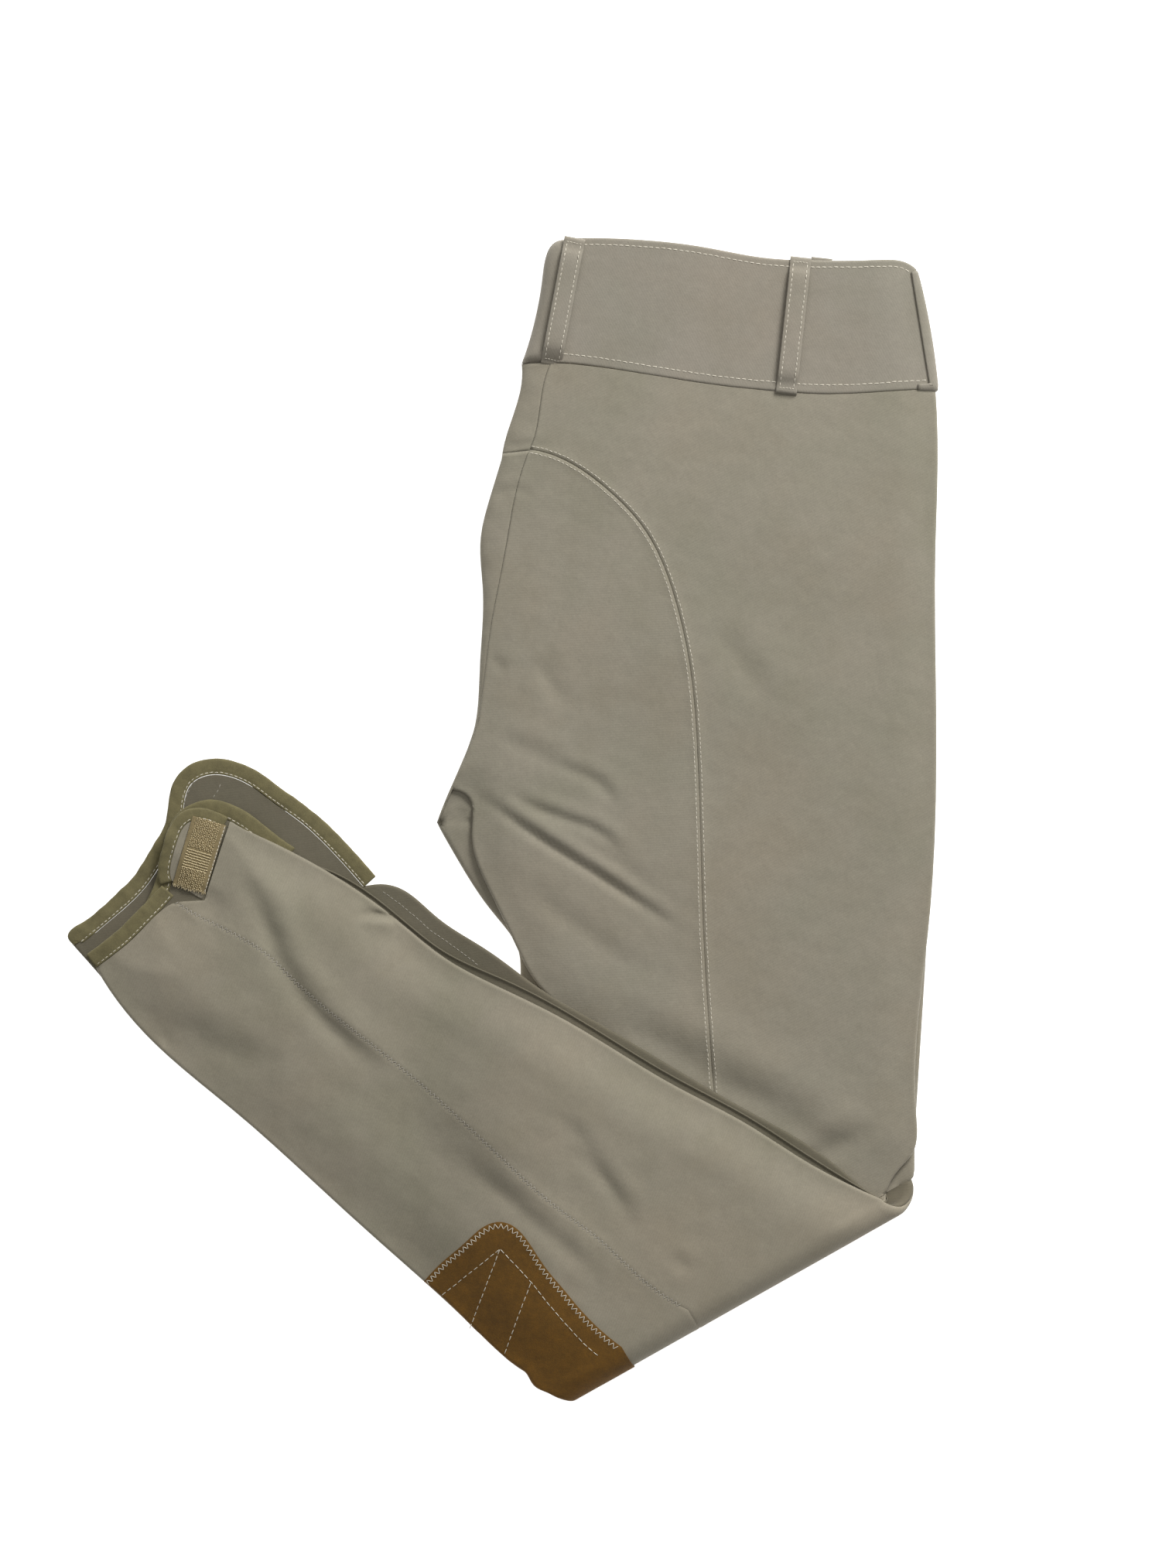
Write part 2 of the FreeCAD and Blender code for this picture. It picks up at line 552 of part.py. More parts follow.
def make_slider():
    """Two wings on a post, and a crown that the pull's crossbar runs under."""
    half, wing = 0.8, size("wing")
    deck = half + wing
    parts = [slider_wing("slider_lower_wing", -deck), slider_wing("slider_upper_wing", half),
             box("slider_post", 2, 0.6, 2 * half, (0.6, -0.3, -half)),
             box("slider_crown_front", 1, 1.6, 0.9, (2.2, -0.8, deck)),
             box("slider_crown_rear", 1, 1.6, 0.9, (6.2, -0.8, deck)),
             box("slider_crown_top", 5, 1.6, 0.35, (2.2, -0.8, deck + 0.55))]
    grouped_on_zip("zip_slider", "Part::MultiFuse", parts, "sizes.zip_level")
    bar = deck + 0.1
    parts = [box("pull_crossbar", 1, 5, 0.35, (4.2, -2.5, bar)),
             box("pull_arm_near", 6, 1.2, 0.7, (4.2, -2.5, bar)),
             box("pull_arm_far", 6, 1.2, 0.7, (4.2, 1.3, bar)),
             box("pull_tab", 20, 5, 0.7, (9.2, -2.5, bar))]
    grouped_on_zip("zip_pull", "Part::MultiFuse", parts, "sizes.zip_level")


def make_fly():
    """The facing that one tape is sewn to, and the shield behind the zip."""
    facing = box("fly_facing_strip", "sizes.zip_length + 14", 26, sized("facing"), (-2, 6, 0))
    grouped_on_zip("fly_facing", "Part::Compound", [facing], "sizes.left_front - sizes.facing - 0.2")
    shield = box("fly_shield_strip", "sizes.zip_length + 14", 40, sized("facing"), (-2, -12, 0))
    grouped_on_zip("fly_shield", "Part::Compound", [shield], "sizes.left_back + sizes.fabric + 0.3")


def make_waist_fastening():
    """Two trouser hooks on the front waistband and the bars that they catch."""
    hooks, bars = [], []
    for i, (x, y) in enumerate(((38, 246), (42, 268))):
        plate = box(f"hook_plate_{i}", sized("hook_length"), sized("hook_width"), sized("hook_plate"),
                    (x, y, 5.4))
        bend = box(f"hook_bend_{i}", 0.6, 5, 1.6, (x - 0.6, y + 1.5, 4.4))
        lip = box(f"hook_lip_{i}", 6, 5, 0.5, (x - 0.6, y + 1.5, 4.4))
        hooks.append(joined(f"hook_{i}", "Part::MultiFuse", [plate, bend, lip]))
        base = box(f"bar_plate_{i}", sized("hook_length"), sized("hook_width"), 0.4, (x, y, 2.9))
        bridge = box(f"bar_bridge_{i}", 1.2, sized("hook_width"), 0.8, (x + 1, y, 3.3))
        bars.append(joined(f"bar_{i}", "Part::MultiFuse", [base, bridge]))
    PIECES.append(joined("waist_hooks", "Part::Compound", hooks))
    PIECES.append(joined("waist_bars", "Part::Compound", bars))


# ---------------------------------------------------------------- the whole garment
make_waistband()
make_belt_loops()
make_thighs()
make_lower_legs()
make_knee_patches()
make_knee_folds()
make_zip()
make_slider()
make_fly()
make_waist_fastening()
DOC.recompute()

for thing in DOC.Objects:
    if "Invalid" in thing.State or "Error" in thing.State:
        raise RuntimeError(f"{thing.Label} failed: {thing.State}")
whole = FreeCAD.BoundBox()
for piece in PIECES:
    if piece.Shape.isNull() or not piece.Shape.isValid() or not piece.Shape.Solids:
        raise RuntimeError(f"{piece.Label} has no valid solid")
    whole.add(piece.Shape.BoundBox)
for piece in PIECES:
    piece.Shape.exportStep(f"parts/{piece.Label}.step")
print(len(PIECES), "pieces,", whole)
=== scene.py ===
"""Folded riding breeches: cloth, suede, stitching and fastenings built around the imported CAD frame.

The garment is eight plies of cloth. Four thigh plies lie on the surface, and each one turns round the knee
fold and comes back above them as a lower leg ply. A ply's height above its CAD level is one function of
place, which its panels, seams, stitches and trims all share. Lengths are in millimetres until a mesh is made.
"""
import json
import math
from collections import namedtuple

import bpy
import numpy as np
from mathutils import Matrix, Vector
from mathutils.geometry import delaunay_2d_cdt


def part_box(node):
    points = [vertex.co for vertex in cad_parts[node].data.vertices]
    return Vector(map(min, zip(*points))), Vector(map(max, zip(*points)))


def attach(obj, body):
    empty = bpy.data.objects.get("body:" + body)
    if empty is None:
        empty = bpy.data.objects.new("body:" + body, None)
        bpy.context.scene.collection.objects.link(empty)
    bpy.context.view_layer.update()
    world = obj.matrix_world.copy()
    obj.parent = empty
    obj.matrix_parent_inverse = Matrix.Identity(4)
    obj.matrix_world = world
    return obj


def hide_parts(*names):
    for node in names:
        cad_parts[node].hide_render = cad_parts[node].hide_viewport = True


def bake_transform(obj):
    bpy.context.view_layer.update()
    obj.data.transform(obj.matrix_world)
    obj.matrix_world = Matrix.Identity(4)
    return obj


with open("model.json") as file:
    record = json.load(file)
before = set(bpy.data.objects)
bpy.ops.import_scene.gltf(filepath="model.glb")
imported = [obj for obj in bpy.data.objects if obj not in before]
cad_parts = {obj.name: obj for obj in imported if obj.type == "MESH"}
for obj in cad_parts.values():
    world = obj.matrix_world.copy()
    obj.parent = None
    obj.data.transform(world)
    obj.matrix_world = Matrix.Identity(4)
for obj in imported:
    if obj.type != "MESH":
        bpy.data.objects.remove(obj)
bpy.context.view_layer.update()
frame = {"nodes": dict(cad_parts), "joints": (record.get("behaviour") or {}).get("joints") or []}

MM = 0.001
CLOTH = 0.8                    # visible thickness of a ply
# How finely the cloth is meshed where it shows, and in the hidden plies.
MESH_STEP = {"shown": 2.0, "thigh": 3.6, "calf": 3.2, "band": 3.4, "patch": 3.0, "strip": 3.0}
ON_LINE = 0.2                  # a point this close to the knee fold is on it


# ---------------------------------------------------------------- plane geometry
def smooth(x):
    """A soft step from 0 to 1."""
    x = np.clip(x, 0, 1)
    return x * x * (3 - 2 * x)


def lengths_along(line):
    """The distance from a line's start to each of its points."""
    steps = np.linalg.norm(np.diff(line, axis=0), axis=1)
    return np.concatenate([[0], np.cumsum(steps)])


def evenly(line, count):
    """The same line with that many evenly spaced points."""
    line = np.asarray(line, float)
    along = lengths_along(line)
    at = np.linspace(0, along[-1], count)
    return np.column_stack([np.interp(at, along, column) for column in line.T])


def spaced(line, step):
    """The same line with evenly spaced points, about a step apart."""
    line = np.asarray(line, float)
    return evenly(line, max(2, int(round(lengths_along(line)[-1] / step)) + 1))


def curve(points, step=2.0):
    """A smooth line through given points (Catmull-Rom), evenly spaced."""
    p = np.asarray(points, float)
    if len(p) == 2:
        return spaced(p, step)
    ends = np.vstack([2 * p[0] - p[1], p, 2 * p[-1] - p[-2]])
    result = []
    for i in range(len(p) - 1):
        a, b, c, d = ends[i:i + 4]
        u = np.linspace(0, 1, 12, endpoint=False)[:, None]
        result.append(0.5 * (2 * b + (c - a) * u + (2 * a - 5 * b + 4 * c - d) * u**2
                             + (3 * b - a - 3 * c + d) * u**3))
    result.append(p[-1:])
    return spaced(np.vstack(result), step)


def distance_to(points, segments, signed=False):
    """The distance from each point to the nearest of some segments, and how far along them it is (0 to 1)."""
    a, b = segments
    best = np.full(len(points), 1e9)
    along = np.zeros(len(points))
    d = b - a
    length = np.maximum((d**2).sum(1), 1e-12)
    for start in range(0, len(points), 4000):
        p = points[start:start + 4000, None]
        u = np.clip(((p - a) * d).sum(2) / length, 0, 1)
        gap = p - (a + u[..., None] * d)
        dist = np.sqrt((gap**2).sum(2))
        near = dist.argmin(1)
        rows = np.arange(len(near))
        value = dist[rows, near]
        if signed:
            side = d[near, 0] * gap[rows, near, 1] - d[near, 1] * gap[rows, near, 0]
            value = value * np.where(side >= 0, 1, -1)
        best[start:start + 4000] = value
        along[start:start + 4000] = (near + u[rows, near]) / len(a)
    return best, along


def inside(points, loop):
    """Which points lie within a closed loop."""
    x, y = points[:, 0], points[:, 1]
    result = np.zeros(len(points), bool)
    for (ax, ay), (bx, by) in zip(loop, np.roll(loop, -1, axis=0)):
        crosses = (ay > y) != (by > y)
        if crosses.any():
            result ^= crosses & (x < (bx - ax) * (y - ay) / (by - ay + 1e-12) + ax)
    return result


def segments_of(line, closed=False):
    """The starts and the ends of a line's segments."""
    line = np.asarray(line, float)
    if closed:
        return line, np.roll(line, -1, axis=0)
    return line[:-1], line[1:]


def turned_left(line):
    """The unit normal to the left of a line at each of its points."""
    along = np.gradient(line, axis=0)
    along /= np.maximum(np.linalg.norm(along, axis=1), 1e-9)[:, None]
    return np.column_stack([-along[:, 1], along[:, 0]])


def corner_turns(loop):
    """How far a closed loop turns at each of its points, in radians."""
    before = loop - np.roll(loop, 1, axis=0)
    after = np.roll(loop, -1, axis=0) - loop
    cross = before[:, 0] * after[:, 1] - before[:, 1] * after[:, 0]
    return np.abs(np.arctan2(cross, (before * after).sum(1)))


def cut_at(loop, marks):
    """A closed loop cut into runs at some of its points. Each run keeps both of its ends."""
    runs = []
    for start, stop in zip(marks, np.roll(marks, -1)):
        stop = stop if stop > start else stop + len(loop)
        runs.append(loop[np.arange(start, stop + 1) % len(loop)])
    return runs


def undulation(points, seed, longest, shortest, waves=14):
    """Gentle seeded unevenness between -1 and 1, with wavelengths in that range."""
    draw = np.random.default_rng(seed)
    total = np.zeros(len(points))
    for _ in range(waves):
        wavelength = math.exp(draw.uniform(math.log(shortest), math.log(longest)))
        turn = draw.uniform(0, 2 * math.pi)
        direction = np.array([math.cos(turn), math.sin(turn)]) * 2 * math.pi / wavelength
        total += np.sin(points @ direction + draw.uniform(0, 2 * math.pi))
    return total / math.sqrt(waves) / 1.6


# ---------------------------------------------------------------- what the frame says
def outline(node):
    """A flat or draped CAD node's edge, seen from above."""
    mesh = frame["nodes"][node].data
    mesh.calc_loop_triangles()
    points = np.array([v.co for v in mesh.vertices]) / MM
    triangles = np.array([t.vertices for t in mesh.loop_triangles])
    a, b, c = (points[triangles[:, k]] for k in range(3))
    normal = np.cross(b - a, c - a)
    triangles = triangles[normal[:, 2] > 0.3 * np.linalg.norm(normal, axis=1)]
    flat, merged = np.unique(np.round(points[:, :2], 3), axis=0, return_inverse=True)
    triangles = merged.reshape(-1)[triangles]
    sides = {}
    for triangle in triangles:
        for i in range(3):
            start, end = triangle[i], triangle[(i + 1) % 3]
            sides[start, end] = sides.get((start, end), 0) + 1
            sides[end, start] = sides.get((end, start), 0) - 1
    following = {}
    for (start, end), count in sides.items():
        if count > 0:
            following.setdefault(start, []).extend([end] * count)
    loops = []
    while following:
        path, loop = [next(iter(following))], []
        while path:
            if following.get(path[-1]):
                path.append(following[path[-1]].pop())
            else:
                following.pop(path[-1], None)
                loop.append(path.pop())
        loops.append(flat[loop[:0:-1]])
    return max(loops, key=lambda points: np.ptp(points, axis=0).sum())


def level(node):
    """The height of the middle of a flat node."""
    low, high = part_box(node)
    return (low.z + high.z) / 2 / MM


def hinge(name):
    """A hinge's place and level, its direction, and the direction to its left, as seen from above."""
    joint = next(joint for joint in frame["joints"] if joint["name"] == name)
    place = np.array(joint["pos_m"]) / MM
    along = np.array(joint["axis"][:2])
    return place[:2], place[2], along, np.array([-along[1], along[0]])


FOLD_AT, FOLD_LEVEL, ALONG, INWARD = hinge("knee_fold")


def to_fold(points):
    """The row frame to knee fold coordinates: the distance along the fold, and inward from it."""
    gap = np.asarray(points, float) - FOLD_AT
    return np.column_stack([gap @ ALONG, gap @ INWARD])


def from_fold(points):
    """Knee fold coordinates to the row frame."""
    points = np.asarray(points, float)
    return FOLD_AT + points[:, :1] * ALONG + points[:, 1:2] * INWARD


# ---------------------------------------------------------------- the plies
DROP = 14.2                    # how far the lower legs sink beside the thighs
DROP_FROM, DROP_OVER = 30, 84  # where across the seat they start to, and over what distance
CALM = 26                      # a ply is even this close to the knee fold
EDGE_CALM = 10                 # and this close to one of its edges
WAVES, SMALL_WAVES = (120, 34), (24, 9)     # longest and shortest wavelength of a ply's unevenness
SMALL_SHARE = 0.25                          # how strong the small waves are beside the others
RIDGE_AT, RIDGE_WIDTH = 1.9, 1.3            # where a crease's ridge is and how wide, in valley widths
THIGH_SEAM, CALF_SEAM = (0.28, 0.65), (0.1, 0.16)    # height of a seam's ridges, and depth of its groove
SEAM_RIDGE_AT, SEAM_RIDGE_WIDTH, SEAM_GROOVE_WIDTH = 1.7, 1.5, 0.55


def sunk(x):
    """How far a lower leg ply is below its level over the thighs."""
    return DROP * smooth((DROP_FROM - x) / DROP_OVER)


class Crease:
    """A valley pressed into a ply along a line, with a softer ridge on one side of it."""

    def __init__(self, points, depth, width, ridge=0.5, side=1, fade=0.35):
        self.points, self.depth, self.width = points, depth, width
        self.ridge, self.side, self.fade = ridge, side, fade

    def height(self, points, to_plane):
        """The crease's height at points in a ply's own plane."""
        line = segments_of(to_plane(curve(self.points, 4)))
        off, along = distance_to(points, line, signed=True)
        q = off * self.side / self.width
        ends = smooth(along / self.fade) * smooth((1 - along) / self.fade)
        ridge = self.ridge * np.exp(-((q - RIDGE_AT) / RIDGE_WIDTH)**2)
        return self.depth * ends * (ridge - np.exp(-q**2))


class Border:
    """A free edge of a ply: it rolls by rise over reach, and the ply sags by sag over width beside it."""

    def __init__(self, line, rise, reach, sag=0, width=24):
        self.segments = segments_of(line)
        self.rise, self.reach, self.sag, self.width = rise, reach, sag, width

    def shares(self, points):
        """How much of the roll and of the sag each point has, from 0 to 1."""
        gap = distance_to(points, self.segments)[0]
        q = 1 - np.clip(gap / self.reach, 0, 1)
        roll = 1 - np.sqrt(np.clip(1 - q**2, 0, 1))
        return roll, (1 - smooth(gap / self.width))**1.5


class Ply:
    """A ply's thigh or lower leg: its level, edges, seams and unevenness.

    A thigh ply works in the row frame's XY. A lower leg ply works in knee fold coordinates, where a negative
    distance inward is the way round the fold.
    """

    def __init__(self, band, calf, seed, rough=0.35, creases=(), raised=0):
        self.radius = FOLD_LEVEL - level(band)
        self.calf = calf
        self.level = (FOLD_LEVEL + self.radius if calf else level(band)) + raised
        self.to_plane = to_fold if calf else (lambda points: np.asarray(points, float))
        self.seed, self.rough, self.creases = seed, rough, creases
        self.borders, self.seams = [], []
        self.seam_ridge, self.seam_groove = CALF_SEAM if calf else THIGH_SEAM
        self.round_fold = []   # of (border, roll at the fold's middle, thigh's roll, thigh's sag)

    def texture(self, points):
        """Seams, creases and unevenness in the ply's own plane."""
        inward = points[:, 1] if self.calf else to_fold(points)[:, 1]
        clear = smooth(inward / CALM)
        gap = np.full(len(points), 1e9)
        for border in self.borders:
            gap = np.minimum(gap, distance_to(points, border.segments)[0])
        uneven = undulation(points, self.seed, *WAVES)
        uneven += SMALL_SHARE * undulation(points, self.seed + 1, *SMALL_WAVES)
        total = clear * smooth(gap / EDGE_CALM) * self.rough * uneven
        for crease in self.creases:
            total += crease.height(points, self.to_plane) * clear
        for line in self.seams:
            total += self.seam_shape(distance_to(points, segments_of(line))[0])
        return total

    def seam_shape(self, gap):
        """The ridges beside a seam, and the groove at its line."""
        ridge = self.seam_ridge * np.exp(-((gap - SEAM_RIDGE_AT) / SEAM_RIDGE_WIDTH)**2)
        return ridge - self.seam_groove * np.exp(-(gap / SEAM_GROOVE_WIDTH)**2)

    def offset(self, points):
        """The height above the ply's level, in the ply's own plane."""
        roll, sag = np.zeros(len(points)), np.zeros(len(points))
        for border in self.borders:
            roll_share, sag_share = border.shares(points)
            value = border.rise * roll_share
            roll = np.where(np.abs(value) > np.abs(roll), value, roll)
            sag = np.maximum(sag, border.sag * sag_share)
        return roll - sag + self.texture(points)

    def height(self, points):
        """The height of the ply's middle at places in the row frame, away from the knee fold."""
        points = np.asarray(points, float)
        base = self.level - (sunk(points[:, 0]) if self.calf else 0)
        return base + self.offset(self.to_plane(points))

    def surface(self, points, lift=0):
        """Points on the ply at places in the row frame."""
        points = np.asarray(points, float)
        return np.column_stack([points, self.height(points) + lift])

    def face(self, points):
        """Points on the upper face of the ply's cloth."""
        return self.surface(points, CLOTH / 2)

    def wrapped(self, plane_points, lift=0):
        """Points on the ply from its own plane, where those past the knee fold go round its axis."""
        inward = plane_points[:, 1]
        flat = plane_points.copy()
        flat[:, 1] = np.maximum(inward, 0)
        places = from_fold(flat)
        result = np.column_stack([places, np.zeros(len(places))])
        ahead = inward >= 0
        result[ahead, 2] = self.height(places[ahead]) + lift
        past = ~ahead
        if past.any():
            radius = self.radius + lift
            turn = -inward[past] / self.radius
            share = turn / math.pi
            first, last = 1 - smooth(2 * share), smooth(2 * share - 1)
            middle = 1 - first - last
            shift = np.zeros(len(turn))
            for border, at_middle, thigh_rise, thigh_sag in self.round_fold:
                roll, sag = border.shares(plane_points[past])
                rise = first * border.rise + middle * at_middle - last * thigh_rise
                part = roll * rise - sag * (first * border.sag - last * thigh_sag)
                shift = np.where(np.abs(part) > np.abs(shift), part, shift)
            for line in self.seams:
                shift += self.seam_shape(distance_to(plane_points[past], segments_of(line))[0])
            reach = radius + shift
            result[past, :2] += -(reach * np.sin(turn))[:, None] * INWARD
            result[past, 2] = FOLD_LEVEL + reach * np.cos(turn)
        return result


def split(node, kinds, default):
    """A node's outline cut into (kind, run) by what each stretch is next to.

    kinds maps a kind to a test on an array of points; a stretch that passes none is of the default kind.
    """
    loop = outline(node)
    middle = (loop + np.roll(loop, -1, axis=0)) / 2
    kind = np.full(len(loop), default, object)
    for name, test in kinds.items():
        kind[test(middle) & (kind == default)] = name
    starts = np.flatnonzero(kind != np.roll(kind, 1))
    return list(zip(kind[starts], cut_at(loop, starts)))


def beside(*nodes, within=0.7):
    """A test for being next to any of these nodes' outlines."""
    lines = [segments_of(outline(node), closed=True) for node in nodes]
    return lambda points: np.min([distance_to(points, line)[0] for line in lines], axis=0) < within


def on_the_fold(points):
    """Which points are on the knee fold."""
    return np.abs(to_fold(points)[:, 1]) < ON_LINE


# How far each ply's edges fall. How far they roll towards their tube's other ply is worked out from this.
SAGS = {"thigh": {"left_back": 0, "left_front": 1.6, "right_front": 1.9, "right_back": 2.2},
        "calf": {"left_back": 5.5, "left_front": 1.8, "right_front": 0.9, "right_back": 0}}
# The other ply of each ply's tube.
TUBE = {"left_back": "left_front", "left_front": "left_back", "right_front": "right_back",
        "right_back": "right_front"}
# The panels of each ply. The first of two has the seam between them.
PANELS = {
    "thigh": {"left_back": ("left_seat_panel", "left_back_thigh_panel"),
              "left_front": ("left_front_thigh_panel",),
              "right_front": ("right_front_thigh_panel",),
              "right_back": ("right_seat_panel", "right_back_thigh_panel")},
    "calf": {"left_back": ("left_calf_inner_panel", "left_calf_outer_panel"),
             "left_front": ("left_calf_front_panel",),
             "right_front": ("right_calf_front_panel",),
             "right_back": ("right_calf_inner_panel", "right_calf_outer_panel")},
}
# What is sewn to each lower leg ply's hem.
TRIMS = {"left_back": ("left_hem_binding", "left_ankle_tab"), "left_front": ("left_front_hem_binding",),
         "right_front": ("right_hem_binding",), "right_back": ()}
# Where the strip round the fold ends, along the fold: on the lower leg, and on the thigh.
SIDE_END = {"left_back": (193, 207), "left_front": (193, 207),
            "right_front": (191, 197), "right_back": (191, 197)}
# How wide the sag beside a lower leg's edge is: at most edges, at the left inner panel, and at the left hem.
CALF_WIDTH, FLANK_WIDTH, HEM_WIDTH = 32, 44, 40
HEM_SAG = 4.2
CENTRE_ROLL = 5.2                        # how far the lowest ply rises into the centre back fold
# A thigh ply's edge at the centre back: its roll, from how far it rolls, its sag, and how wide that is.
CENTRE_EDGE = {"left_back": (CENTRE_ROLL, 5.5, 0, 16), "left_front": (-0.5, 0.9, 0, 16),
               "right_front": (-0.5, 0.9, 0.7, 16), "right_back": (-0.5, 0.9, 0.7, 16)}
INNER_SWELL, INNER_REACH = 6.7, 12.8     # how the inseam corner swells along the fold, and from how far
INNER_TURN, INNER_ROUND = 5.6, 3.0       # how far that corner comes back in as it turns, and how roundly
OUTER_SWELL = 5.0                        # how far the left plies' fold runs on past its thigh end
CUFF_FROM, CUFF_TO, CUFF_SPAN = -90, -60.6, 29    # the stretch of Y that the right cuff's far corner fills
CUFF_BEYOND = -200                       # and the X that it lies beyond
CUFF_FILL = np.array([-8.9, -2.3])       # how far its tip comes out
# The centre back edge of a thigh ply is nearer than this X, and above this Y.
CENTRE_BEFORE = 40
CENTRE_FOOT = {"left_back": -1, "left_front": -1, "right_front": 17.2, "right_back": 17.2}


def base_level(ply, part):
    """A ply's own level on the thigh or on the lower leg."""
    flat = level(ply + "_waistband")
    return flat if part == "thigh" else 2 * FOLD_LEVEL - flat


def roll_of(ply, part):
    """How far a ply's sagged edge is from the middle of its tube."""
    own = base_level(ply, part) - SAGS[part][ply]
    other = base_level(TUBE[ply], part) - SAGS[part][TUBE[ply]]
    return (other - own) / 2


def reach_of(rise, least=1.2, share=1.15):
    """From how far an edge starts to roll that has to rise by so much."""
    return max(least, abs(rise) * share)


def thigh_runs(name, panel):
    """A thigh panel's outline in runs: at the fold, band, seam or centre back, or else a free edge."""
    others = [other for other in PANELS["thigh"][name] if other != panel]
    kinds = {"fold": on_the_fold, "band": beside(name + "_waistband")}
    if others:
        kinds["seam"] = beside(*others, within=0.9)
    kinds["centre"] = lambda points: (points[:, 0] < CENTRE_BEFORE) & (points[:, 1] > CENTRE_FOOT[name])
    return split(panel, kinds, "edge")


def thigh_ply(name, seed, creases=(), rough=0.35):
    """A ply from the waistband to the knee fold."""
    ply = Ply(name + "_waistband", False, seed, rough, creases)
    rise = roll_of(name, "thigh")
    for panel in PANELS["thigh"][name]:
        for kind, run in thigh_runs(name, panel):
            if kind == "edge":
                ply.borders.append(Border(run, rise, reach_of(rise), SAGS["thigh"][name]))
            elif kind == "centre":
                ply.borders.append(Border(run, *CENTRE_EDGE[name]))
            elif kind == "seam" and panel == PANELS["thigh"][name][0]:
                ply.seams.append(run)
    return ply


def strip_side(name, radius, start):
    """One side of a ply's strip round the knee fold, from the lower leg to the thigh, in the ply's plane.

    The outer side runs on to its thigh end. The inner side swells before it turns, and comes back.
    """
    calf_end, thigh_end = SIDE_END[name]
    turns = np.linspace(0, math.pi, 13)
    along = np.full(len(turns), float(start))
    if abs(start - calf_end) < 2:
        further = thigh_end + (OUTER_SWELL if name.startswith("left") else 0)
        along = calf_end + (further - calf_end) * (1 - np.cos(turns)) / 2
    elif abs(start) < 2:
        reach = np.sin(turns)
        first = INNER_TURN * reach + INNER_ROUND * reach**6 - INNER_SWELL
        last = (INNER_TURN + INNER_ROUND - INNER_SWELL) * reach**2
        along = np.where(turns < math.pi / 2, first, last)
    return np.column_stack([along, -turns * radius])


def swollen_inseam(plane_points):
    """A lower leg's outline with its inseam corner swollen where it turns into the fold."""
    points = np.array(plane_points, float)
    t, s = points.T
    near = (t < 1) & (s < INNER_REACH)
    points[near, 0] -= INNER_SWELL * np.cos(math.pi / 2 * s[near] / INNER_REACH)**1.5
    return points


def cuff_corner(name, points):
    """A lower leg ply's outline. The corner beyond the hem ribbon is filled out on the right leg."""
    points = np.array(points, float)
    if name.startswith("left"):
        return points
    x, y = points.T
    near = (x < CUFF_BEYOND) & (y < CUFF_TO) & (y > CUFF_FROM)
    points[near] += ((y[near] - CUFF_FROM) / CUFF_SPAN)[:, None]**1.5 * CUFF_FILL
    return points


def calf_ply(name, seed, creases=(), rough=0.35):
    """A ply from the knee fold to the hem, with the strip that goes round the fold."""
    ply = Ply(name + "_waistband", True, seed, rough, creases)
    rise, sag = roll_of(name, "calf"), SAGS["calf"][name]
    panels = PANELS["calf"][name]
    for panel in panels:
        others = [other for other in panels if other != panel]
        kinds = {"fold": on_the_fold}
        if others:
            kinds["seam"] = beside(*others, within=0.3)
        if TRIMS[name]:
            kinds["hem"] = beside(*TRIMS[name], within=1.8)
        for kind, run in split(panel, kinds, "edge"):
            line = to_fold(run)
            if kind == "edge":
                line = swollen_inseam(to_fold(cuff_corner(name, spaced(run, 2))))
                width = FLANK_WIDTH if panel == "left_calf_inner_panel" else CALF_WIDTH
                ply.borders.append(Border(line, rise, reach_of(rise, 1.1), sag, width))
            elif kind == "hem" and name == "left_back":
                ply.borders.append(Border(line, 0, 1, HEM_SAG, HEM_WIDTH))
            elif kind == "seam" and panel == panels[0]:
                end = line[np.argmin(np.abs(line[:, 1]))]
                past = [[end[0], -math.pi * ply.radius]]
                ply.seams.append(np.vstack([past, line] if np.allclose(end, line[0]) else [line, past]))
    middle = (FOLD_LEVEL - base_level(TUBE[name], "thigh") - ply.radius) / 2
    for start in (0, SIDE_END[name][0]):
        side = strip_side(name, ply.radius, start)
        edge = Border(side, rise, reach_of(middle, 1.1, 1.1), sag, CALF_WIDTH)
        ply.borders.append(edge)
        ply.round_fold.append((edge, middle, roll_of(name, "thigh"), SAGS["thigh"][name]))
    return ply


# ---------------------------------------------------------------- making meshes
def make_object(name, points, faces, material, smooth_faces=True):
    """A mesh object from points in millimetres."""
    mesh = bpy.data.meshes.new(name)
    mesh.from_pydata((np.asarray(points) * MM).tolist(), [], [tuple(f) for f in faces])
    mesh.validate()
    if smooth_faces:
        mesh.polygons.foreach_set("use_smooth", np.ones(len(mesh.polygons), bool))
    mesh.materials.append(material)
    piece = bpy.data.objects.new(name, mesh)
    bpy.context.scene.collection.objects.link(piece)
    return piece


CORNER = math.radians(24)      # an outline that turns by more has a corner there


def resampled(loop, step):
    """A closed loop with even points that keeps its corners."""
    corners = np.flatnonzero(corner_turns(loop) > CORNER)
    if len(corners) == 0:
        corners = np.array([0])
    return np.vstack([spaced(run, step)[:-1] for run in cut_at(loop, corners)])


# How far behind its edge a sheet has rows of points: most sheets, tapes, strips and facings.
RINGS = (0.22, 0.55, 1.0, 1.7, 2.6, 3.8)
TAPE_RINGS, STRIP_RINGS, FACING_RINGS = (0.3, 0.8), (0.4, 1.2), (0.5, 1.4, 2.8)
# Inside those rows the points are in a grid: its pitch across and along, its stagger, and how far from the
# last row it starts, all in steps.
GRID_ACROSS, GRID_ALONG, GRID_STAGGER, GRID_FROM = 1.25, 1.08, 0.62, 0.6
CROWDED = 0.93                 # a row's point is left out where an edge is nearer than this share of its ring


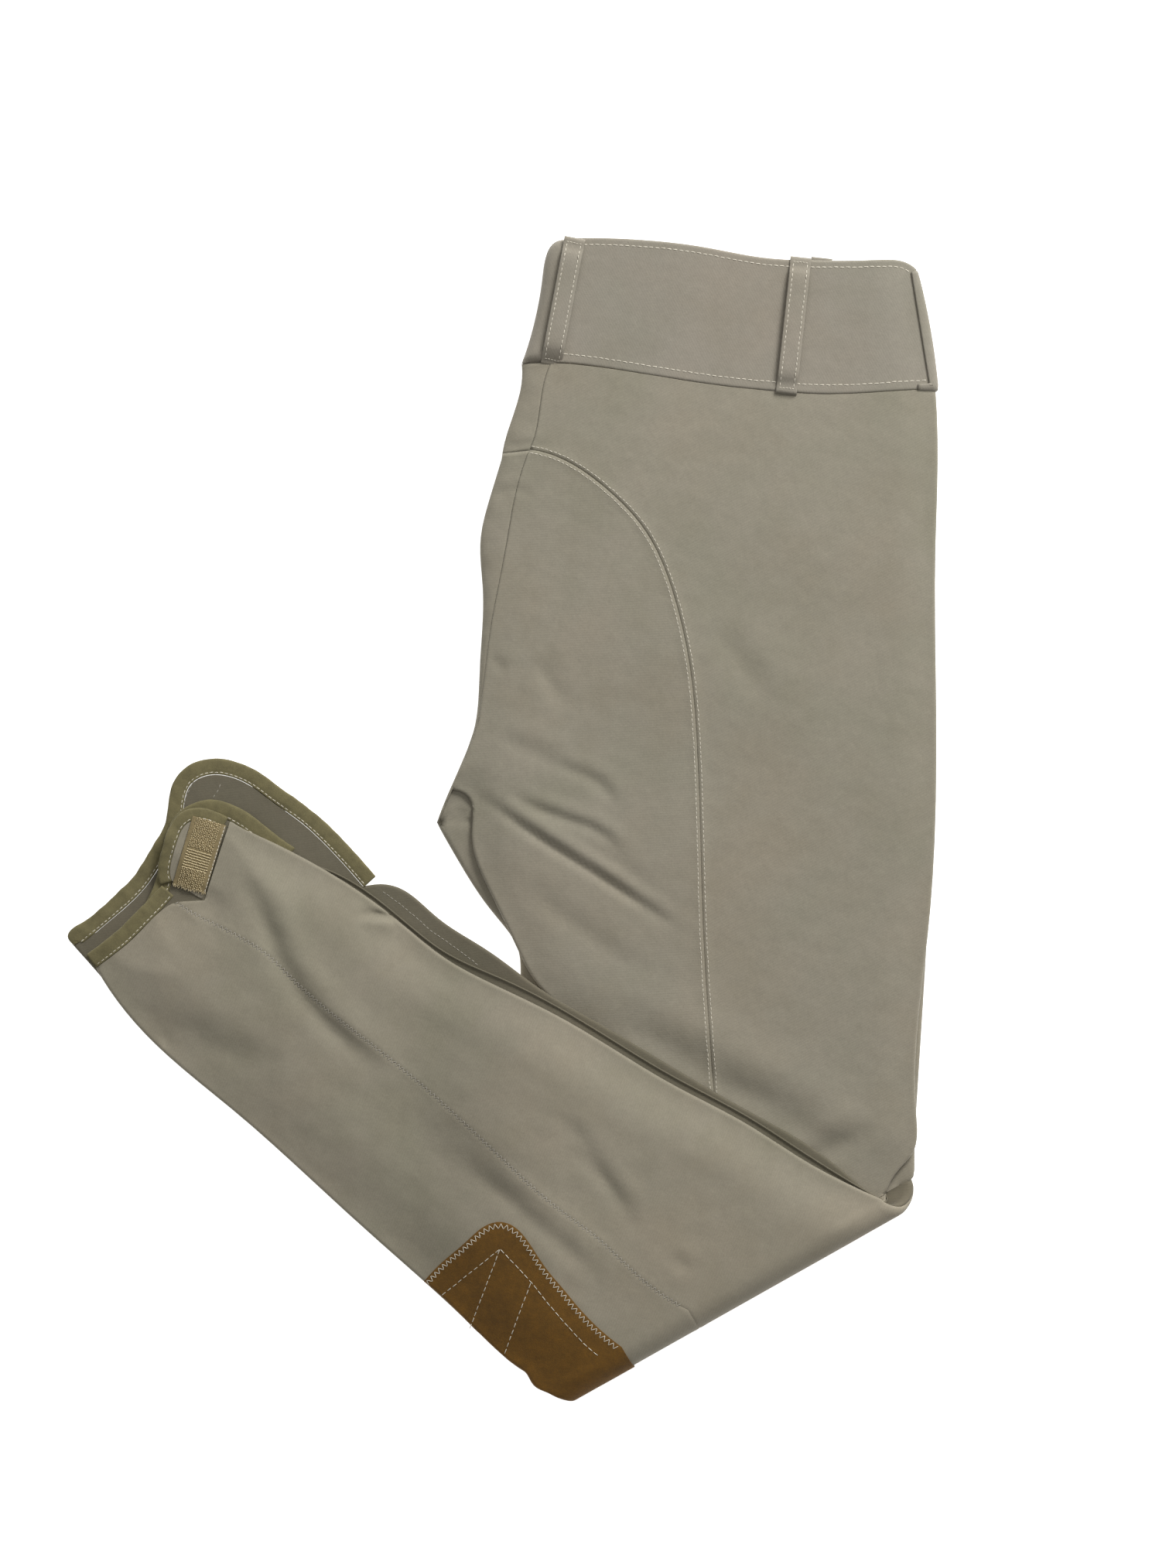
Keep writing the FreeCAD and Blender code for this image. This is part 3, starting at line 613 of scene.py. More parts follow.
def fill(loop, step, rings=RINGS):
    """Points and triangles over a closed loop, with rows of points close behind its edge."""
    loop = resampled(loop, step)
    x, y = loop.T
    if (x * np.roll(y, -1) - y * np.roll(x, -1)).sum() < 0:
        loop = loop[::-1]
    segments = segments_of(loop, closed=True)
    normal = turned_left(np.vstack([loop[-1:], loop, loop[:1]]))[1:-1]
    points = [loop]
    for ring in rings:
        row = loop + normal * ring
        not_crowded = distance_to(row, segments)[0] > CROWDED * ring
        points.append(row[not_crowded & inside(row, loop)])
    low, high = loop.min(0), loop.max(0)
    xs = np.arange(low[0], high[0], step * GRID_ACROSS)
    ys = np.arange(low[1], high[1], step * GRID_ALONG)
    grid = np.array([(x + (j % 2) * step * GRID_STAGGER, y) for j, y in enumerate(ys) for x in xs])
    grid = grid[inside(grid, loop)]
    points.append(grid[distance_to(grid, segments)[0] > rings[-1] + GRID_FROM * step])
    edges = [(i, (i + 1) % len(loop)) for i in range(len(loop))]
    found = delaunay_2d_cdt([Vector(p) for p in np.vstack(points)], edges, [], 1, 1e-5)
    return np.array([v[:] for v in found[0]]), [face for face in found[2] if len(face) == 3]


def thickened(piece, thickness):
    """Gives a sheet its thickness, half on each side."""
    layer = piece.modifiers.new("thickness", "SOLIDIFY")
    layer.thickness = thickness * MM
    layer.offset = 0
    return piece


def quads(rows, count, closed=True):
    """The faces between rows of points, each of the same count."""
    faces = []
    for i in range(rows - 1):
        for j in range(count if closed else count - 1):
            a, b = i * count + j, i * count + (j + 1) % count
            faces.append((a, b, b + count, a + count))
    return faces


def loft(sections, closed=True):
    """Points and faces of a skin over equal sections, with ends if the sections are closed."""
    rows, count = len(sections), len(sections[0])
    faces = quads(rows, count, closed)
    if closed:
        faces.append(tuple(range(count))[::-1])
        faces.append(tuple(range((rows - 1) * count, rows * count)))
    return np.vstack(sections), faces


def joined(meshes):
    """Several (points, faces) as one."""
    points, faces, start = [], [], 0
    for p, f in meshes:
        points.append(p)
        faces.extend(tuple(i + start for i in face) for face in f)
        start += len(p)
    return np.vstack(points), faces


def labelled(piece, slot, *nodes):
    """Hides the CAD nodes that a piece stands for. The slot is not used."""
    if nodes:
        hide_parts(*nodes)
    return piece


def add(name, solid, look, body, slot, *nodes, thickness=0):
    """Makes a piece from (points, faces) that rides on a body. A sheet of cloth is given its thickness."""
    piece = make_object(name, *solid, LOOKS[look])
    if thickness:
        thickened(piece, thickness)
    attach(piece, body)
    return labelled(piece, slot, *nodes)


# ---------------------------------------------------------------- materials
class Look:
    """A procedural material under construction. Its methods add nodes, with sizes in millimetres."""

    def __init__(self, name, roughness, sheen=0.0, metallic=0.0):
        self.material = bpy.data.materials.new(name)
        self.material.use_nodes = True
        self.nodes, self.links = self.material.node_tree.nodes, self.material.node_tree.links
        self.shader = self.nodes["Principled BSDF"]
        self.shader.inputs["Roughness"].default_value = roughness
        self.shader.inputs["Metallic"].default_value = metallic
        self.shader.inputs["Sheen Weight"].default_value = sheen
        self.shader.inputs["Sheen Roughness"].default_value = 0.5
        self.place = self.nodes.new("ShaderNodeTexCoord").outputs["Object"]

    def turned(self, degrees):
        """The object's coordinates turned about the vertical."""
        mapping = self.nodes.new("ShaderNodeMapping")
        mapping.inputs["Rotation"].default_value = (0, 0, math.radians(degrees))
        self.links.new(self.place, mapping.inputs["Vector"])
        return mapping.outputs["Vector"]

    def noise(self, size, detail=3, rough=0.55):
        """Soft noise with patches of about that size."""
        node = self.nodes.new("ShaderNodeTexNoise")
        node.inputs["Scale"].default_value = 1 / (size * MM)
        node.inputs["Detail"].default_value = detail
        node.inputs["Roughness"].default_value = rough
        self.links.new(self.place, node.inputs["Vector"])
        return node.outputs["Fac"]

    def bands(self, pitch, degrees, uneven=0.0):
        """Parallel ribs that far apart, turned about the vertical."""
        node = self.nodes.new("ShaderNodeTexWave")
        node.bands_direction = "X"
        node.inputs["Scale"].default_value = math.pi / 20 / (pitch * MM)
        node.inputs["Distortion"].default_value = uneven
        node.inputs["Detail Scale"].default_value = 2.0
        self.links.new(self.turned(degrees), node.inputs["Vector"])
        return node.outputs["Fac"]

    def maths(self, kind, a, b):
        """One sum or product of numbers and sockets."""
        node = self.nodes.new("ShaderNodeMath")
        node.operation = kind
        for socket, value in zip(node.inputs, (a, b)):
            if isinstance(value, (int, float)):
                socket.default_value = value
            else:
                self.links.new(value, socket)
        return node.outputs["Value"]

    def ramp(self, value, stops):
        """A colour picked by a value from (place, colour) stops."""
        node = self.nodes.new("ShaderNodeValToRGB")
        elements = node.color_ramp.elements
        while len(elements) < len(stops):
            elements.new(0.5)
        for element, (at, colour) in zip(elements, stops):
            element.position = at
            element.color = (*colour, 1)
        self.links.new(value, node.inputs["Fac"])
        return node.outputs["Color"]

    def mix(self, share, a, b, kind="MIX"):
        """Two colours mixed, each a tuple or a socket."""
        node = self.nodes.new("ShaderNodeMix")
        node.data_type = "RGBA"
        node.blend_type = kind
        for socket, value in ((node.inputs["Factor"], share), (node.inputs["A"], a), (node.inputs["B"], b)):
            if isinstance(value, (int, float)):
                socket.default_value = value
            elif isinstance(value, tuple):
                socket.default_value = (*value, 1)
            else:
                self.links.new(value, socket)
        return node.outputs["Result"]

    def speckled(self, share, base, value, low, high, between=(0.3, 0.7)):
        """A colour made darker where a value is low, and lighter where it is high."""
        grey = self.ramp(value, [(between[0], (low,) * 3), (between[1], (high,) * 3)])
        return self.mix(share, base, grey, "MULTIPLY")

    def finish_plain(self, colour):
        """Sets one colour all over."""
        self.shader.inputs["Base Color"].default_value = (*colour, 1)
        return self.material

    def finish(self, colour, bumps=()):
        """Sets the colour, and stacks (height, depth in mm) bumps."""
        self.links.new(colour, self.shader.inputs["Base Color"])
        normal = None
        for height, depth in bumps:
            bump = self.nodes.new("ShaderNodeBump")
            bump.inputs["Strength"].default_value = 1.0
            bump.inputs["Distance"].default_value = depth * MM
            self.links.new(height, bump.inputs["Height"])
            if normal is not None:
                self.links.new(normal, bump.inputs["Normal"])
            normal = bump.outputs["Normal"]
        if normal is not None:
            self.links.new(normal, self.shader.inputs["Normal"])
        return self.material


def shade(colour, factor, tint=(1, 1, 1)):
    """A colour made darker or lighter, and tinted."""
    return tuple(c * factor * t for c, t in zip(colour, tint))


def gabardine(name, colour, grain=0, patchy=1.0):
    """Fine stretch twill: a steep diagonal rib, slubby yarns, and slow greenish, mauve and brown mottling."""
    look = Look(name, 0.9, sheen=0.08)
    rib = look.bands(0.62, 63 + grain, 1.4)
    slub = look.noise(1.1, 4, 0.75)
    brownish, greenish = (1.02, 0.99, 0.975), (0.975, 1.005, 0.975)
    base = look.ramp(look.noise(85, 4, 0.55), [(0.28, shade(colour, 0.95, greenish)), (0.5, colour),
                                              (0.72, shade(colour, 1.02, brownish))])
    blotch = look.ramp(look.noise(30, 4, 0.6), [(0.3, (0.93, 0.925, 0.90)), (0.55, (1, 1, 1)),
                                               (0.8, (1.04, 1.03, 1.04))])
    base = look.mix(0.8 * patchy, base, blotch, "MULTIPLY")
    base = look.speckled(0.7, base, look.noise(4.5, 5, 0.7), 0.93, 1.05)
    base = look.speckled(0.6, base, slub, 0.88, 1.1)
    base = look.speckled(0.5, base, rib, 0.95, 1.03, (0.2, 0.8))
    return look.finish(base, [(look.noise(14, 4, 0.6), 0.22), (look.noise(3.5, 4, 0.65), 0.05), (rib, 0.012),
                              (slub, 0.05)])


def suede(name, colour):
    """Brushed suede: short nap with darker and lighter strokes, rubbed paler at its high places."""
    look = Look(name, 0.95, sheen=0.12)
    look.shader.inputs["Sheen Tint"].default_value = (0.9, 0.62, 0.33, 1)
    strokes = look.noise(5, 5, 0.7)
    wide = look.noise(26, 3, 0.5)
    mixed = look.maths("ADD", look.maths("MULTIPLY", strokes, 0.6), look.maths("MULTIPLY", wide, 0.4))
    rubbed = shade(colour, 1.22, (1, 0.98, 0.9))
    base = look.ramp(mixed, [(0.36, shade(colour, 0.8)), (0.5, colour), (0.64, rubbed)])
    base = look.speckled(0.8, base, look.noise(0.8, 5, 0.75), 0.72, 1.2)
    return look.finish(base, [(strokes, 0.25), (look.noise(0.7, 5, 0.8), 0.16)])


def ribbon(name, colour):
    """Folded microsuede binding: matte, mottled, a little crushed."""
    look = Look(name, 0.9, sheen=0.15)
    look.shader.inputs["Sheen Tint"].default_value = (0.86, 0.82, 0.62, 1)
    crush = look.noise(5, 4, 0.65)
    base = look.ramp(crush, [(0.32, shade(colour, 0.84)), (0.5, colour), (0.7, shade(colour, 1.14))])
    base = look.speckled(0.7, base, look.noise(0.6, 4, 0.7), 0.82, 1.14)
    return look.finish(base, [(crush, 0.18), (look.noise(0.6, 4, 0.8), 0.09)])


def thread(name, colour):
    """Twisted sewing thread."""
    look = Look(name, 0.6, sheen=0.2)
    base = look.ramp(look.noise(2.5, 3), [(0.3, shade(colour, 0.82)), (0.7, shade(colour, 1.08))])
    return look.finish(base, [(look.bands(0.35, 35, 0.4), 0.03)])


def tape(name, colour, pitch=0.5):
    """Woven narrow tape with ribs across it."""
    look = Look(name, 0.8, sheen=0.15)
    rib = look.bands(pitch, 20, 0.5)
    base = look.ramp(look.noise(1.6, 4), [(0.3, shade(colour, 0.78)), (0.7, shade(colour, 1.12))])
    return look.finish(base, [(rib, 0.06), (look.noise(0.5, 4), 0.05)])


def moulded(name, colour, roughness):
    """Nylon filament or moulded plastic."""
    look = Look(name, roughness)
    base = look.ramp(look.noise(4, 3), [(0.3, shade(colour, 0.9)), (0.7, shade(colour, 1.06))])
    return look.finish(base, [(look.noise(0.9, 3), 0.01)])


def metal(name, colour, roughness):
    """Plated metal with fine scratches and slightly dulled patches."""
    look = Look(name, roughness, metallic=1.0)
    base = look.ramp(look.noise(5, 4), [(0.3, shade(colour, 0.8)), (0.7, colour)])
    return look.finish(base, [(look.bands(0.3, 12, 3.0), 0.004), (look.noise(0.6, 3), 0.006)])


SHELL = (0.276, 0.250, 0.191)          # the outer cloth's colour
LOOKS = {
    "shell": gabardine("shell_gabardine", SHELL),
    "seat": gabardine("seat_gabardine", shade(SHELL, 0.98), 24, 1.2),
    "calf": gabardine("calf_gabardine", shade(SHELL, 1.02, (1, 0.99, 0.97)), -40),
    "band": gabardine("waistband_gabardine", shade(SHELL, 0.99, (1, 1, 1.05)), 90),
    "facing": gabardine("facing_cloth", shade(SHELL, 0.86), 45),
    "suede": suede("knee_suede", (0.130, 0.060, 0.004)),
    "binding": ribbon("hem_ribbon", (0.158, 0.136, 0.062)),
    "cream": thread("cream_thread", (0.66, 0.61, 0.50)),
    "self": thread("shell_thread", (0.36, 0.33, 0.27)),
    # The reverse of the cloth, seen inside the cuffs, at about half the shell's brightness: a little of that
    # is the reverse side's own colour, most of it is painted shade for the shadow inside the cuffs.
    "inside": gabardine("reverse_side_painted_shade_gabardine", shade(SHELL, 0.50, (1, 0.97, 0.86)), 20),
    "hook_tape": tape("hook_tape_nylon", (0.235, 0.18, 0.085), 0.8),
    "hooks": moulded("hook_filament", (0.60, 0.50, 0.30), 0.5),
    "zip_tape": tape("zip_tape_weave", (0.26, 0.23, 0.18), 0.4),
    "coil": moulded("zip_coil_nylon", (0.24, 0.21, 0.16), 0.45),
    "zip_metal": metal("slider_metal", (0.55, 0.50, 0.40), 0.32),
    "steel": metal("hook_steel", (0.60, 0.60, 0.60), 0.28),
}


# ---------------------------------------------------------------- stitches
# A stitch's sections: how far along it, how full, and how far up.
STITCH_RINGS = ((-0.5, 0.25, -0.5), (-0.36, 0.85, 0.1), (0, 1.0, 0.35), (0.36, 0.85, 0.1), (0.5, 0.25, -0.5))
STITCH_CORNERS = 6


def capsules(places, directions, length, width, height):
    """Small rounded threads lying on a surface: (points, faces)."""
    places, directions = np.asarray(places, float), np.asarray(directions, float)
    directions = directions / np.maximum(np.linalg.norm(directions, axis=1), 1e-9)[:, None]
    across = np.cross(directions, (0, 0, 1.0))
    across /= np.maximum(np.linalg.norm(across, axis=1), 1e-9)[:, None]
    up = np.cross(across, directions)
    turns = np.arange(STITCH_CORNERS) * math.pi / 3
    points = []
    for along, swell, rise in STITCH_RINGS:
        for c, s in zip(np.cos(turns), np.sin(turns)):
            points.append(places + directions * along * length + across * c * swell * width / 2
                          + up * (s * swell * height / 2 + rise * height / 2))
    points = np.stack(points, axis=1)
    faces = np.array(quads(len(STITCH_RINGS), STITCH_CORNERS))
    every = (faces[None] + (np.arange(len(places)) * points.shape[1])[:, None, None]).reshape(-1, 4)
    return points.reshape(-1, 3), every.tolist()


Row = namedtuple("Row", "pitch length width height wander", defaults=(0.06,))    # how stitches are spaced

TOPSTITCH = Row(3.1, 2.5, 0.55, 0.42)
EDGESTITCH = Row(2.6, 2.0, 0.46, 0.36)
FINE = Row(2.4, 1.9, 0.42, 0.3, 0.08)
PATCH_EDGE = Row(2.6, 2.0, 0.38, 0.34)
QUILTING = Row(3.5, 2.8, 0.42, 0.34)
BAR_TACK = Row(1.5, 1.3, 0.4, 0.3)
TAPE_EDGE = Row(1.9, 1.7, 0.42, 0.3)


def stitch_row(line, place, row, seed=0):
    """Stitches along a line in the row frame; place puts points on the cloth."""
    line = np.asarray(line, float)
    total = lengths_along(line)[-1]
    count = max(2, int(total / row.pitch))
    marks = spaced(line, total / count / 2)
    marks += np.random.default_rng(seed).normal(0, row.wander, marks.shape)
    solid = place(marks)
    centres, before, after = solid[1:-1:2], solid[:-2:2], solid[2::2]
    count = min(len(centres), len(before), len(after))
    return capsules(centres[:count], after[:count] - before[:count], row.length, row.width, row.height)


def zigzag_row(line, place, pitch, reach, row, seed=0):
    """A zigzag of stitches between two sides of a line."""
    marks = spaced(line, pitch / 2)
    sign = np.where(np.arange(len(marks)) % 2, 1, -1)[:, None]
    marks = marks + turned_left(marks) * sign * reach / 2
    marks += np.random.default_rng(seed).normal(0, row.wander, marks.shape)
    solid = place(marks)
    legs = solid[1:] - solid[:-1]
    middle = (solid[1:] + solid[:-1]) / 2
    length = float(np.median(np.linalg.norm(legs, axis=1))) * 0.98
    return capsules(middle, legs, length, row.width, row.height)


def beside_line(line, distance):
    """The same line moved to its left."""
    line = np.asarray(line, float)
    return line + turned_left(line) * distance


# ---------------------------------------------------------------- the eight plies
# The edge of the leg beneath, which presses through the ply that is folded over it.
LEG_EDGE = ((40, -94), (78, -114), (118, -138), (158, -162), (196, -184))
UNDER_CREASES = (Crease(LEG_EDGE, 1.0, 9, 0, fade=0.3),)
GUSSET_CREASES = (Crease([(-38, -2.4), (-24.4, 0.4), (-15.2, 1.6), (-8, 2)], 1.8, 1.4, 0.7, fade=0.1),)
THIGH_CREASES = (
    Crease([(-20, 15), (-9, 10), (7, -1), (22, -11), (36, -20), (52, -30), (77, -47), (97, -60)],
           2.3, 2.8, 0.6),
    Crease([(1, 16), (13, 8), (31, 1), (51, -7), (66, -23)], 1.3, 2.8, 0.6),
    Crease([(22, 30), (40, 24), (51, 18), (61, 3)], 1.0, 3.4),
    Crease([(-6, 44), (14, 36), (34, 26)], 0.8, 5),
    Crease([(-2, -22), (16, -38), (40, -56), (64, -74), (86, -84)], 0.8, 6, 0.4),
    Crease([(34, -8), (60, -24), (84, -44)], 0.6, 5, 0.4),
    Crease([(19, 86), (24, 72), (36, 56)], 0.8, 4.5, 0.3, -1),
    Crease([(108, 102), (124, 81), (140, 57)], 1.0, 7, 0.4),
    Crease([(-6, 85), (3, 75)], 0.6, 3.0, 0.4),
    Crease([(5, 201), (13, 195), (27, 192)], 0.45, 2.4, 0.4),
    Crease([(1, 176), (10, 170), (18, 168)], 0.4, 2.4, 0.4),
    Crease([(96, -150), (130, -142), (178, -150)], 0.6, 9, 0.4),
    Crease([(140, -190), (168, -172), (196, -158)], 1.4, 6, 0.6),
    Crease(LEG_EDGE, 1.7, 9, 0.8, fade=0.3),
)
CALF_CREASES = (
    Crease([(-60, -150), (-24, -176), (16, -200)], 1.0, 12, 1.6, fade=0.4),
    Crease([(-139, -21), (-130, -38), (-122, -55), (-116, -70), (-110, -82), (-102, -93), (-91, -106),
            (-76, -120), (-57, -136)], 1.8, 5.5, 0.9, fade=0.25),
    Crease([(-76, -51), (-71, -49), (-59, -50), (-52, -53)], 2.2, 2.2, 0.6, -1),
    Crease([(-28, -172), (-15, -181), (2, -194), (16, -206), (30, -217), (42, -228), (50, -238), (55, -245)],
           1.3, 5, 0.7),
    Crease([(30, -164), (46, -178), (60, -194), (67, -206), (75, -214)], 0.8, 4, 0.6),
    Crease([(20, -148), (36, -158), (51, -180), (64, -208)], 0.6, 4),
    Crease([(87, -222), (96, -234)], 0.8, 4, 0.4),
    Crease([(-176, -100), (-145, -118), (-110, -131)], 1.4, 9, 0.4),
    Crease([(-175, -109), (-174, -119)], 0.7, 2.5, 0.4),
)
THIGH = {
    "left_back": thigh_ply("left_back", 11, GUSSET_CREASES),
    "left_front": thigh_ply("left_front", 12, GUSSET_CREASES, 0.18),
    "right_front": thigh_ply("right_front", 13, UNDER_CREASES),
    "right_back": thigh_ply("right_back", 14, THIGH_CREASES, 0.45),
}
CALF = {
    "left_back": calf_ply("left_back", 21, CALF_CREASES, 0.6),
    "left_front": calf_ply("left_front", 22),
    "right_front": calf_ply("right_front", 23),
    "right_back": calf_ply("right_back", 24),
}
# The panels that aren't in the shell's own look.
CLOTH_LOOK = {"left_seat_panel": "seat", "right_seat_panel": "seat"}


def mesh_area(piece):
    """The area of a sheet's mesh, in square metres."""
    piece.data.calc_loop_triangles()
    return sum(triangle.area for triangle in piece.data.loop_triangles)


LEAST_BOX = 12                 # a sheet's box is taken as at least this wide
LEAST_FILLED = 0.31            # and the cloth fills at least this share of it


def declare_sheet(piece, points):
    """Works out a piece of cloth's flat cut as the box round it, and its real area; nothing is done with
    them.
    """
    width, length = np.maximum(np.ptp(np.asarray(points), axis=0), LEAST_BOX) * MM
    area = min(max(mesh_area(piece), LEAST_FILLED * width * length), width * length)


def make_thigh_panels():
    """The panels of the four plies from the waistband to the knee fold."""
    for ply, panels in PANELS["thigh"].items():
        step = MESH_STEP["shown" if ply == "right_back" else "thigh"]
        for node in panels:
            places, faces = fill(outline(node), step)
            piece = add(node.replace("_panel", "_cloth"), (THIGH[ply].surface(places), faces),
                        CLOTH_LOOK.get(node, "shell"), "upper", "shell_fabric", node, thickness=CLOTH)
            declare_sheet(piece, places)


def around_fold(node, ply_name):
    """A lower leg piece's free edge, and its outline with the strip round the fold, in fold coordinates."""
    loop = to_fold(cuff_corner(ply_name, resampled(outline(node), 2)))
    at_fold = np.abs(loop[:, 1]) < ON_LINE
    start = next(i for i in range(len(loop)) if at_fold[i - 1] and not at_fold[i])
    loop = np.roll(loop, -(start - 1), axis=0)
    at_fold = np.roll(at_fold, -(start - 1))
    body = swollen_inseam(loop[1:][~at_fold[1:]])
    radius = CALF[ply_name].radius
    far_side = strip_side(ply_name, radius, loop[1:][at_fold[1:]][0][0])
    near_side = strip_side(ply_name, radius, loop[0][0])
    return body, np.vstack([body, far_side, near_side[::-1]])


def blend_over_fold(piece):
    """Bakes a piece's transform into its mesh."""
    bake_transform(piece)


def make_calf_panels():
    """The panels of the four plies from the thighs, round the knee fold, to the hems."""
    for ply, panels in PANELS["calf"].items():
        step = MESH_STEP["shown" if ply == "left_back" else "calf"]
        # The front plies show their reverse face, in the cloth darkened with painted shade for the shadow
        # inside the cuffs.
        look = LOOKS["inside" if ply.endswith("_front") else "calf"]
        for i, node in enumerate(panels):
            places, faces = fill(around_fold(node, ply)[1], step)
            piece = make_object(node.replace("_panel", "_cloth"), CALF[ply].wrapped(places), faces, look)
            blend_over_fold(thickened(piece, CLOTH))
            labelled(piece, "shell_fabric", *([node] if i else [node, ply + "_knee_fold"]))
            declare_sheet(piece, places)


# ---------------------------------------------------------------- the fold at the centre back
def ordered(line, direction):
    """A line turned round if need be, so that it starts at its end that is further along a direction."""
    return line if (line[0] - line[-1]) @ np.asarray(direction, float) > 0 else line[::-1]


def centre_line(name):
    """The centre back edge of a thigh ply, from the crotch to the waistband."""
    runs = []
    for node in PANELS["thigh"][name]:
        runs += [ordered(run, (0, -1)) for kind, run in thigh_runs(name, node) if kind == "centre"]
    runs.sort(key=lambda run: run[0][1])
    return np.vstack(runs)


TURN_ROWS, TURN_POINTS = 150, 12     # along the centre back fold, and round a quarter of it
TURN_BELOW = 0.25                    # how far the turned cloth starts below the middle of the upper ply
TURN_ACROSS, TURN_DOWN = 1.15, 0.75  # powers that make the quarter turn fuller than a circle's
TURN_RIPPLE = 0.35                   # how far its surface ripples


def make_centre_back():
    """The left seat and back panels coming round the centre back fold, up to the seam on the upper ply."""
    share = np.linspace(0, 1, TURN_ROWS)
    near, far = (spaced(centre_line(name), 1) for name in ("right_back", "left_back"))
    near, far = (line[(share * (len(line) - 1)).astype(int)] for line in (near, far))
    top = THIGH["right_back"].height(near) - TURN_BELOW
    low = THIGH["left_back"].level + CENTRE_ROLL
    turns = np.linspace(0, math.pi / 2, TURN_POINTS)
    across, down = np.sin(turns)**TURN_ACROSS, np.cos(turns)**TURN_DOWN
    rows = np.array([np.column_stack([a + (b - a) * across[:, None], low + (z - low) * down])
                     for a, b, z in zip(near, far, top)])
    ripple = undulation(rows[..., :2].reshape(-1, 2), 31, 40, 12).reshape(TURN_ROWS, -1)
    rows[..., 2] += ripple * TURN_RIPPLE * np.sin(2 * turns)[None]
    seam = np.vstack(THIGH["right_back"].seams)
    cut = int(np.argmin(np.abs(near[:, 1] - seam[:, 1].max())))
    for name, part, look in (("left_seat_turn_cloth", rows[:cut + 1], "seat"),
                             ("left_back_turn_cloth", rows[cut:], "shell")):
        piece = add(name, loft(list(part), closed=False), look, "upper", "shell_fabric", thickness=CLOTH)
        declare_strip(piece, lengths_along(part[:, 0, :2])[-1])


LEAST_WIDTH = 10.5


def declare_strip(piece, length):
    """Works out the width of a long narrow sheet of that length; nothing is done with it."""
    length *= MM
    width = max(mesh_area(piece) / length, LEAST_WIDTH * MM)


# ---------------------------------------------------------------- waistband
BAND_RAISE = 0.45              # how far a waistband ply stands out from the panels that it holds
# Which side of its waistband ply each facing is on: 1 is above it.
FACINGS = {"left_back": 1, "left_front": -1, "right_front": 1, "right_back": -1}
FOOT_ROLL, TOP_ROLL = 1.0, 0.8       # how far the band's foot and its top turn in
CENTRE_REACH = 5.5                   # from how far the back plies turn into the centre back fold
# Which stretches of a band's outline are at the side, and at the centre back.
BAND_KINDS = {
    "side": lambda points: (points[:, 0] > 212) & (points[:, 1] < 286),
    "centre": lambda points: (points[:, 0] < 32) & (points[:, 1] > 236.7),
}


def band_ply(name, seed):
    """A waistband ply, a little proud of the panels that it holds, with its foot and top lines."""
    node = name + "_waistband"
    outer = -FACINGS[name]
    ply = Ply(node, False, seed, 0.16, raised=BAND_RAISE * outer)
    ply.foot = ply.top = []
    rise = roll_of(name, "thigh")
    turn = (level("left_back_waistband") + level("right_back_waistband")) / 2 - ply.level
    for kind, run in split(node, dict(foot=beside(*PANELS["thigh"][name]), **BAND_KINDS), "top"):
        if kind == "side":
            ply.borders.append(Border(run, rise, reach_of(rise), SAGS["thigh"][name]))
        elif kind == "centre":
            ply.borders.append(Border(run, turn if name.endswith("_back") else 0, CENTRE_REACH))
        elif kind == "foot":
            ply.borders.append(Border(run, -FOOT_ROLL * outer, 1.0))
            ply.foot = max(ply.foot, ordered(run, (-1, 0)), key=len)
        else:
            ply.borders.append(Border(run, -TOP_ROLL * outer, 1.0))
            ply.top = max(ply.top, ordered(run, (-1, 0)), key=len)
    return ply


BAND = {name: band_ply(name, 61 + i) for i, name in enumerate(FACINGS)}


def without_centre(loop, inset):
    """The same outline, drawn in beside the centre back."""
    moved = loop.copy()
    moved[:, 0] += inset * (1 - smooth((loop[:, 0] - 10) / 60))
    return moved


FRONT_INSET, FACING_INSET = 4.0, 3.0     # how far the fronts and the facings stop short of the centre back
FACING_SIZE = (0.985, 0.96)              # a facing's width and height, as shares of its band's
FACING_GAP, FACING_CLOTH = 0.9, 0.5      # from the middle of the band's cloth, and its thickness
TOPSTITCH_IN = {"top": -3.3, "foot": 4.4}    # to the left of those lines, as they run
TOPSTITCH_ENDS = (14, 220)


def make_waistband():
    """Four outer plies of the band, the facing inside each, and the topstitching on the upper one."""
    for name, facing_side in FACINGS.items():
        ply = BAND[name]
        loop = without_centre(outline(name + "_waistband"), FRONT_INSET if name.endswith("_front") else 0)
        places, faces = fill(loop, MESH_STEP["shown" if name == "right_back" else "band"])
        piece = add(name + "_waistband_cloth", (ply.surface(places), faces), "band", "upper",
                    "waistband_fabric", name + "_waistband", thickness=CLOTH)
        declare_sheet(piece, places)
        middle = loop.mean(0)
        inner = without_centre(middle + (loop - middle) * FACING_SIZE, FACING_INSET)
        places, faces = fill(inner, 4.0, FACING_RINGS)
        piece = add(name + "_waistband_facing_cloth", (ply.surface(places, facing_side * FACING_GAP), faces),
                    "facing", "upper", "facing_fabric", name + "_waistband_facing", thickness=FACING_CLOTH)
        declare_sheet(piece, places)
    ply = BAND["right_back"]
    rows = []
    for line, inset, seed in ((ply.top, TOPSTITCH_IN["top"], 1), (ply.foot, TOPSTITCH_IN["foot"], 2)):
        path = spaced(beside_line(spaced(line, 4), inset), 1)
        keep = (path[:, 0] > TOPSTITCH_ENDS[0]) & (path[:, 0] < TOPSTITCH_ENDS[1])
        rows.append(stitch_row(path[keep], ply.face, TOPSTITCH, seed))
    add("waistband_topstitching", joined(rows), "cream", "upper", "thread")


